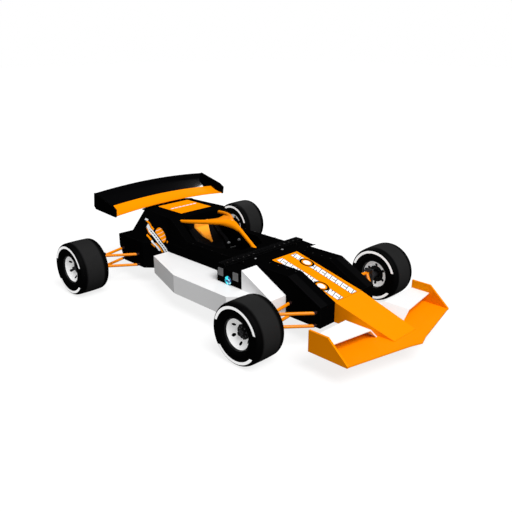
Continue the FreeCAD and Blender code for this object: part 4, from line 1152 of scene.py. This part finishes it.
# %% Make the halo
SKIN = 0.0042
ROUNDS = 60
FREE_FROM = -0.66
FADE = 0.06
ARM_HOLD = 0.86
END_SKIN = 0.003
END_FADE = 0.012

halo_low, halo_high = (np.array(corner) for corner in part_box("halo"))
halo = even_skin(united(joined_copy("halo", "halo_casting"), neck_body("neck")), SKIN)
start = mesh_points(halo)
near_end = np.minimum(start[:, 2] - halo_low[2], start[:, 0] - halo_low[0])
on_arm = np.clip((FREE_FROM - start[:, 0]) / FADE, 0, ARM_HOLD)
hold = np.maximum(np.clip(1 - (near_end - END_SKIN) / END_FADE, 0, 1), on_arm)
set_points(halo, np.clip(averaged(halo, ROUNDS, hold), halo_low, halo_high))
soften(halo, 60)
dress(halo, halo_paint, "chassis", "halo")
print("halo faces:", len(halo.data.polygons), "from", np.round(mesh_points(halo).min(0), 3))

# %% [markdown]
# ## The head pad
#
# Behind the driver's head lies a sewn pad: foam under an orange woven cover, broad at the top
# and narrow where it runs down between the shoulders. Cloth under a light pressure gives it the
# crown of a filled cover. Its back stays flat against the seat, so the pressure acts only on
# what faces forward, up or out.

# %% Puff the pad with cloth
PAD_SKIN = 0.005
PAD_SHRINK = 0.004
PAD_CAP = 0.008
PAD_NARROWING = [1, 0.90, 1]
CLOTH_STEPS = 20
PAD_ROOM = np.full(3, 0.006)
pad_low, pad_high = (np.array(corner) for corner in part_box("headrest"))


def free_to_swell(normals):
    """1 where the skin faces forward, falling to 0 where it faces the seat behind it."""
    return np.clip((normals[:, 0] + 0.35) / 0.5, 0, 1)


pad = even_skin(joined_copy("headrest", "head_pad"), PAD_SKIN)
skin = mesh_points(pad)
normals = mesh_points(pad, "normal")
flat = (skin - normals * (PAD_SHRINK * free_to_swell(normals))[:, None]) * PAD_NARROWING
set_points(pad, flat)
cloth = pad.modifiers.new("filled cover", "CLOTH")
cloth.settings.quality = 6
cloth.settings.mass = 0.3
cloth.settings.use_pressure = True
cloth.settings.uniform_pressure_force = 4.0
cloth.settings.effector_weights.gravity = 0.0
for step in range(1, CLOTH_STEPS + 1):
    bpy.context.scene.frame_set(step)
applied(pad)
bpy.context.scene.frame_set(1)
move = mesh_points(pad) - flat
length = np.linalg.norm(move, axis=1, keepdims=True)
move *= np.minimum(1.0, PAD_CAP / np.maximum(length, 1e-9)) * free_to_swell(normals)[:, None]
puffed = flat + move
set_points(pad, puffed)
puffed = averaged(pad, 2, np.zeros(len(puffed)), back=0.52)
puffed = np.clip(puffed, pad_low - PAD_ROOM * [0, 1, 0], pad_high + PAD_ROOM)
set_points(pad, puffed)
print("pad moved at most", round(float(np.abs(move).max()), 4), "m; points:", len(puffed))

# %% Round the pad's faces and mark where its seams run
# x of the pad's top, knee and foot, and half its width at each
PAD_PLACES = (-1.111, -0.997, -0.911)
PAD_HALVES = (0.130, 0.068, 0.020)


def pad_half_width(x):
    """The pad narrows down its front: full at the top, half at the knee and a tip at the foot."""
    return np.interp(x, PAD_PLACES, PAD_HALVES)


puff = pad.modifiers.new("round the faces", "SUBSURF")
puff.levels = puff.render_levels = 1
applied(pad)
place = mesh_points(pad)
across = place[:, 1] / pad_half_width(place[:, 0])
store(pad, "seam", np.stack([across, place[:, 2], place[:, 0]], -1))


# %% The cover's weave, seams and stitches
# radians of the weave's waves for each metre, stitches for each metre, and the seams' place
# between the pad's middle, 0, and its side, 1
YARNS = 2600.0
STITCHES = 130.0
SEAM = 0.74


def pad_material():
    """Orange plain weave with two sewn seams. The seams follow the attribute that runs from -1 to
    1 across the pad, so they converge as it narrows. Stitches are dashes along its height. The
    seams' grooves are also painted darker, as painted shade in the crease, and the cover glows a
    little, as painted light that keeps its shaded lower part bright."""
    material, tree, shader = new_material("orange pad cover")
    across, up, _ = stored_axes(tree, "seam")
    x, y, z = place_axes(tree)
    weave = (y * YARNS).math("SINE") * ((z - x) * YARNS).math("SINE")
    line = across.size() - SEAM
    groove_with_painted_light = line.size().below(0.022, 0.02)
    stitch = (line + 0.035).size().below(0.010, 0.004) * (up * STITCHES).beat().above(0.4, 0.1)
    tone = grain(tree, 9.0, 5) * 0.14
    cover = layered(
        tone.blend((0.97, 0.33, 0.014), (0.85, 0.24, 0.0)),
        # painted shade in the seams' grooves
        (groove_with_painted_light * 0.5, (0.35, 0.08, 0.0)),
        (stitch, (0.95, 0.55, 0.2)),
    )
    # the cover glows a little: painted light
    feed_all(shader, Base_Color=cover, Emission_Color=cover, Emission_Strength=0.22,
             Roughness=tone + 0.7, Sheen_Weight=0.15, Specular_IOR_Level=0.15)
    add_relief(shader, weave * 0.05 - groove_with_painted_light * 0.9 + stitch * 0.25, 0.5, 0.003)
    return material


soften(pad, 70)
dress(pad, pad_material(), "chassis", "headrest")
print("pad faces:", len(pad.data.polygons))

# %% [markdown]
# ## Bolts and quick-release fasteners
#
# Body panels come off for every service, so they are held by small flush fasteners with a
# slot, in rows along their edges. They sit on the flat tops, at heights that the CAD gives.
# The beam has larger bolts, and two pale ones stand beside it on the deck.

# %% Fasteners in rows
FASTENER = [(-0.001, 0.0), (-0.001, 0.0085), (0.0006, 0.0085), (0.0012, 0.0075), (0.0012, 0.0035),
            (0.0004, 0.0028), (0.0004, 0.0)]
UP = (0, 0, 1)
deck_low, deck_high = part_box("cockpit_tub")
deck = deck_high.z


def row_of(start, stop, count):
    """Points that are evenly spaced from start to stop, both ends included."""
    share = np.linspace(0, 1, count)[:, None]
    return np.asarray(start, float) * (1 - share) + np.asarray(stop, float) * share


def both_sides(points):
    return np.concatenate([points, points * [1, -1, 1]])


rows = [row_of((deck_low.x + 0.12, 0.455, deck), (deck_high.x - 0.04, 0.455, deck), 9),
        row_of((deck_high.x - 0.02, 0.07, deck), (deck_high.x - 0.02, 0.40, deck), 4),
        row_of((roof_low.x + 0.05, 0.10, roof_high.z), (roof_low.x + 0.05, 0.24, roof_high.z), 3),
        row_of((front_low.x + 0.05, 0.30, front_high.z), (front_low.x + 0.44, 0.30, front_high.z), 4)]
places = np.concatenate([both_sides(row) for row in rows])
fasteners = scattered("panel_fasteners", FASTENER, places, UP, 16)
dress(fasteners, hub_black, "chassis")
print("fasteners:", len(places))

# %% Bolts of the beam and the deck
BEAM_BOLT = [(-0.001, 0.0), (-0.001, 0.009), (0.004, 0.009), (0.005, 0.008), (0.005, 0.0)]
DECK_BOLT = [(-0.001, 0.0), (-0.001, 0.013), (0.0065, 0.013), (0.008, 0.0115), (0.008, 0.0)]
SKY = 3.0
line = (beam_low.x + beam_high.x) / 2 + 0.03
beam_row = both_sides(row_of((line, 0.18, beam_high.z), (line, 0.60, beam_high.z), 6))
beam_bolts = scattered("beam_bolts", BEAM_BOLT, beam_row, UP, 24, hexagon)
dress(beam_bolts, hub_black, "chassis")


def on_deck(x, y):
    """The point of the deck straight below the sky at (x, y)."""
    hit, place, _, _ = nodes["cockpit_tub"].ray_cast(Vector((x, y, SKY)), Vector((0, 0, -1)))
    return (x, y, place.z if hit else deck)


deck_places = [on_deck(beam_high.x + 0.05, side * 0.23) for side in SIDES.values()]
deck_bolts = scattered("deck_bolts", DECK_BOLT, deck_places, UP, 24, hexagon)
dress(deck_bolts, grey_metal, "chassis")
print("beam bolts:", len(beam_row), "deck bolts at", np.round(deck_places, 3).tolist())

# %% [markdown]
# ## Lamps
#
# Each lamp is a black block beside the body. Two grey cheek plates lie on its outer face and
# the round lens sits between them in a thin ring.

# %% Cheek plates and lens rings
lamp_low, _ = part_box("lamp_housing_right")
lens_low, lens_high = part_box("lamp_lenses")
LAMP_FACE = -lamp_low.y
LENS = np.array([(lens_low.x + lens_high.x) / 2, LAMP_FACE, (lens_low.z + lens_high.z) / 2])
LENS_RING = [(0.0, 0.052), (0.004, 0.052), (0.0055, 0.0535), (0.0055, 0.0575), (0.004, 0.059),
             (0.0, 0.059), (0.0, 0.052)]
# from and to along x, then along z
PLATES = ((-0.018, 0.066, 0.533, 0.626), (0.226, 0.312, 0.535, 0.630))
PLATE_THICK = 0.0045
PLATE_CORNER = 0.006
# each outline of a plate: height over the face, how much rounder its corners are, its spread
PLATE_ROWS = ((0.0, 0.0, 0), (0.0, 0.0, 1), (PLATE_THICK * 0.8, 0.0, 1), (PLATE_THICK, 0.0015, 1),
              (PLATE_THICK, 0.005, 1), (PLATE_THICK, 0.0, 0))


def rounded_plate(name, left, right, low, high, out, steps=32):
    """A plate with rounded corners: rows of one outline, closed by a middle point front and back.
    The outline is a circle whose quarters are moved apart, by reach_x and reach_z."""
    turn = np.linspace(0, FULL_TURN, steps + 1)[:-1] + math.pi / steps
    round_x, round_z = np.cos(turn), np.sin(turn)
    reach_x = (right - left) / 2 - PLATE_CORNER
    reach_z = (high - low) / 2 - PLATE_CORNER
    rows = []
    for height, inset, spread in PLATE_ROWS:
        x = (left + right) / 2 + spread * (np.sign(round_x) * reach_x + (PLATE_CORNER - inset) * round_x)
        z = (low + high) / 2 + spread * (np.sign(round_z) * reach_z + (PLATE_CORNER - inset) * round_z)
        row = np.stack([x, np.full(steps, out * (LAMP_FACE + height)), z], -1)
        rows.append(np.concatenate([row, row[:1]]))
    grid = np.concatenate(rows)
    return soften(weld(piece_from_arrays(name, grid, grid_quads(len(rows), steps + 1))), 30)


for side, out in SIDES.items():
    for number, plate in enumerate(PLATES):
        piece = rounded_plate(f"lamp_plate_{side}_{number}", *plate, out)
        dress(piece, plate_grey, "chassis")
    ring = turned_piece(f"lens_ring_{side}", LENS_RING, LENS * [1, out, 1], (0, out, 0), 64)
    dress(ring, hub_black, "chassis")
print("lamp plates and rings fitted; lens centre", np.round(LENS, 3))

# %% [markdown]
# ## The studio
#
# A pale floor, a pale surround and one broad soft light from ahead and above, so that the tops
# are bright, the nose's face is next, and the near side is about half as bright. A small lamp
# behind puts a glint on the rear wing. The surround is white to look at but gives a softer
# light, which keeps the black paint black.

# %% Floor and surround
FLOOR_EDGE = 60.0
FLOOR_GAP = 0.0005
WHITE_LIGHT = (1.0, 1.0, 1.0)


def studio_floor():
    """One large square just under the tyres, pale and a little lit, so that shadows stay faint."""
    corners = [(-1, -1, 0), (1, -1, 0), (1, 1, 0), (-1, 1, 0)]
    points = np.array(corners, float) * FLOOR_EDGE - [0, 0, FLOOR_GAP]
    floor = piece_from_arrays("studio_floor", points, np.array([[0, 1, 2, 3]]))
    material, tree, shader = new_material("studio floor")
    tone = (grain(tree, 0.8, 3) * 0.04).blend((0.2, 0.2, 0.2), (0.19, 0.19, 0.19))
    feed_all(shader, Base_Color=tone, Roughness=0.9, Specular_IOR_Level=0.0,
             Emission_Color=WHITE_LIGHT, Emission_Strength=0.81)
    give(floor, material)
    floor.visible_diffuse = False
    floor.visible_glossy = False


def pale_surround(look, light, gloss):
    """A world that is white to the camera and softer to the surfaces and their reflections."""
    world = bpy.data.worlds.new("pale surround")
    bpy.context.scene.world = world
    world.use_nodes = True
    tree = world.node_tree
    camera_ray, glossy_ray = (
        from_node(tree, "ShaderNodeLightPath", output) for output in ("Is Camera Ray", "Is Glossy Ray")
    )
    strength = camera_ray * (look - light) + glossy_ray * (gloss - light) + light
    feed_all(tree.nodes["Background"], Color=WHITE_LIGHT, Strength=strength)


studio_floor()
pale_surround(1.0, 0.36, 0.05)
bpy.context.scene.view_settings.view_transform = "Standard"

# %% Lamps and camera
SUN_FROM = Vector((0.575, -0.145, 0.806))
GLINT_PLACE = Vector((-4.15, 4.5, 3.7))
GLINT_TARGET = Vector((-1.9, 0.8, 1.1))
# the camera stands ahead of the right front wheel and well above the car
CAMERA_PLACE = (4.9354, -5.0271, 3.087)
CAMERA_TURN = math.radians(135.0914)
CAMERA_DROP = math.radians(-19.545)


def aimed(data, place, toward):
    """An object that holds a lamp or a camera at a place and points it in a direction."""
    holder = bpy.data.objects.new(data.name, data)
    holder.location = place
    holder.rotation_euler = Vector(toward).to_track_quat("-Z", "Y").to_euler()
    bpy.context.scene.collection.objects.link(holder)
    return holder


sun = bpy.data.lights.new("broad key light", "SUN")
sun.energy = 3.25
sun.angle = math.radians(35)
aimed(sun, (0, 0, 0), -SUN_FROM)

glint = bpy.data.lights.new("wing glint", "AREA")
glint.shape = "SQUARE"
glint.size = 0.95
glint.energy = 62
aimed(glint, GLINT_PLACE, GLINT_TARGET - GLINT_PLACE)

lens = bpy.data.cameras.new("studio camera")
lens.lens = 43.456
lens.sensor_width = 36.0
level = math.cos(CAMERA_DROP)
look = (math.cos(CAMERA_TURN) * level, math.sin(CAMERA_TURN) * level, math.sin(CAMERA_DROP))
bpy.context.scene.camera = aimed(lens, CAMERA_PLACE, look)

# %% Finish
bpy.context.view_layer.update()
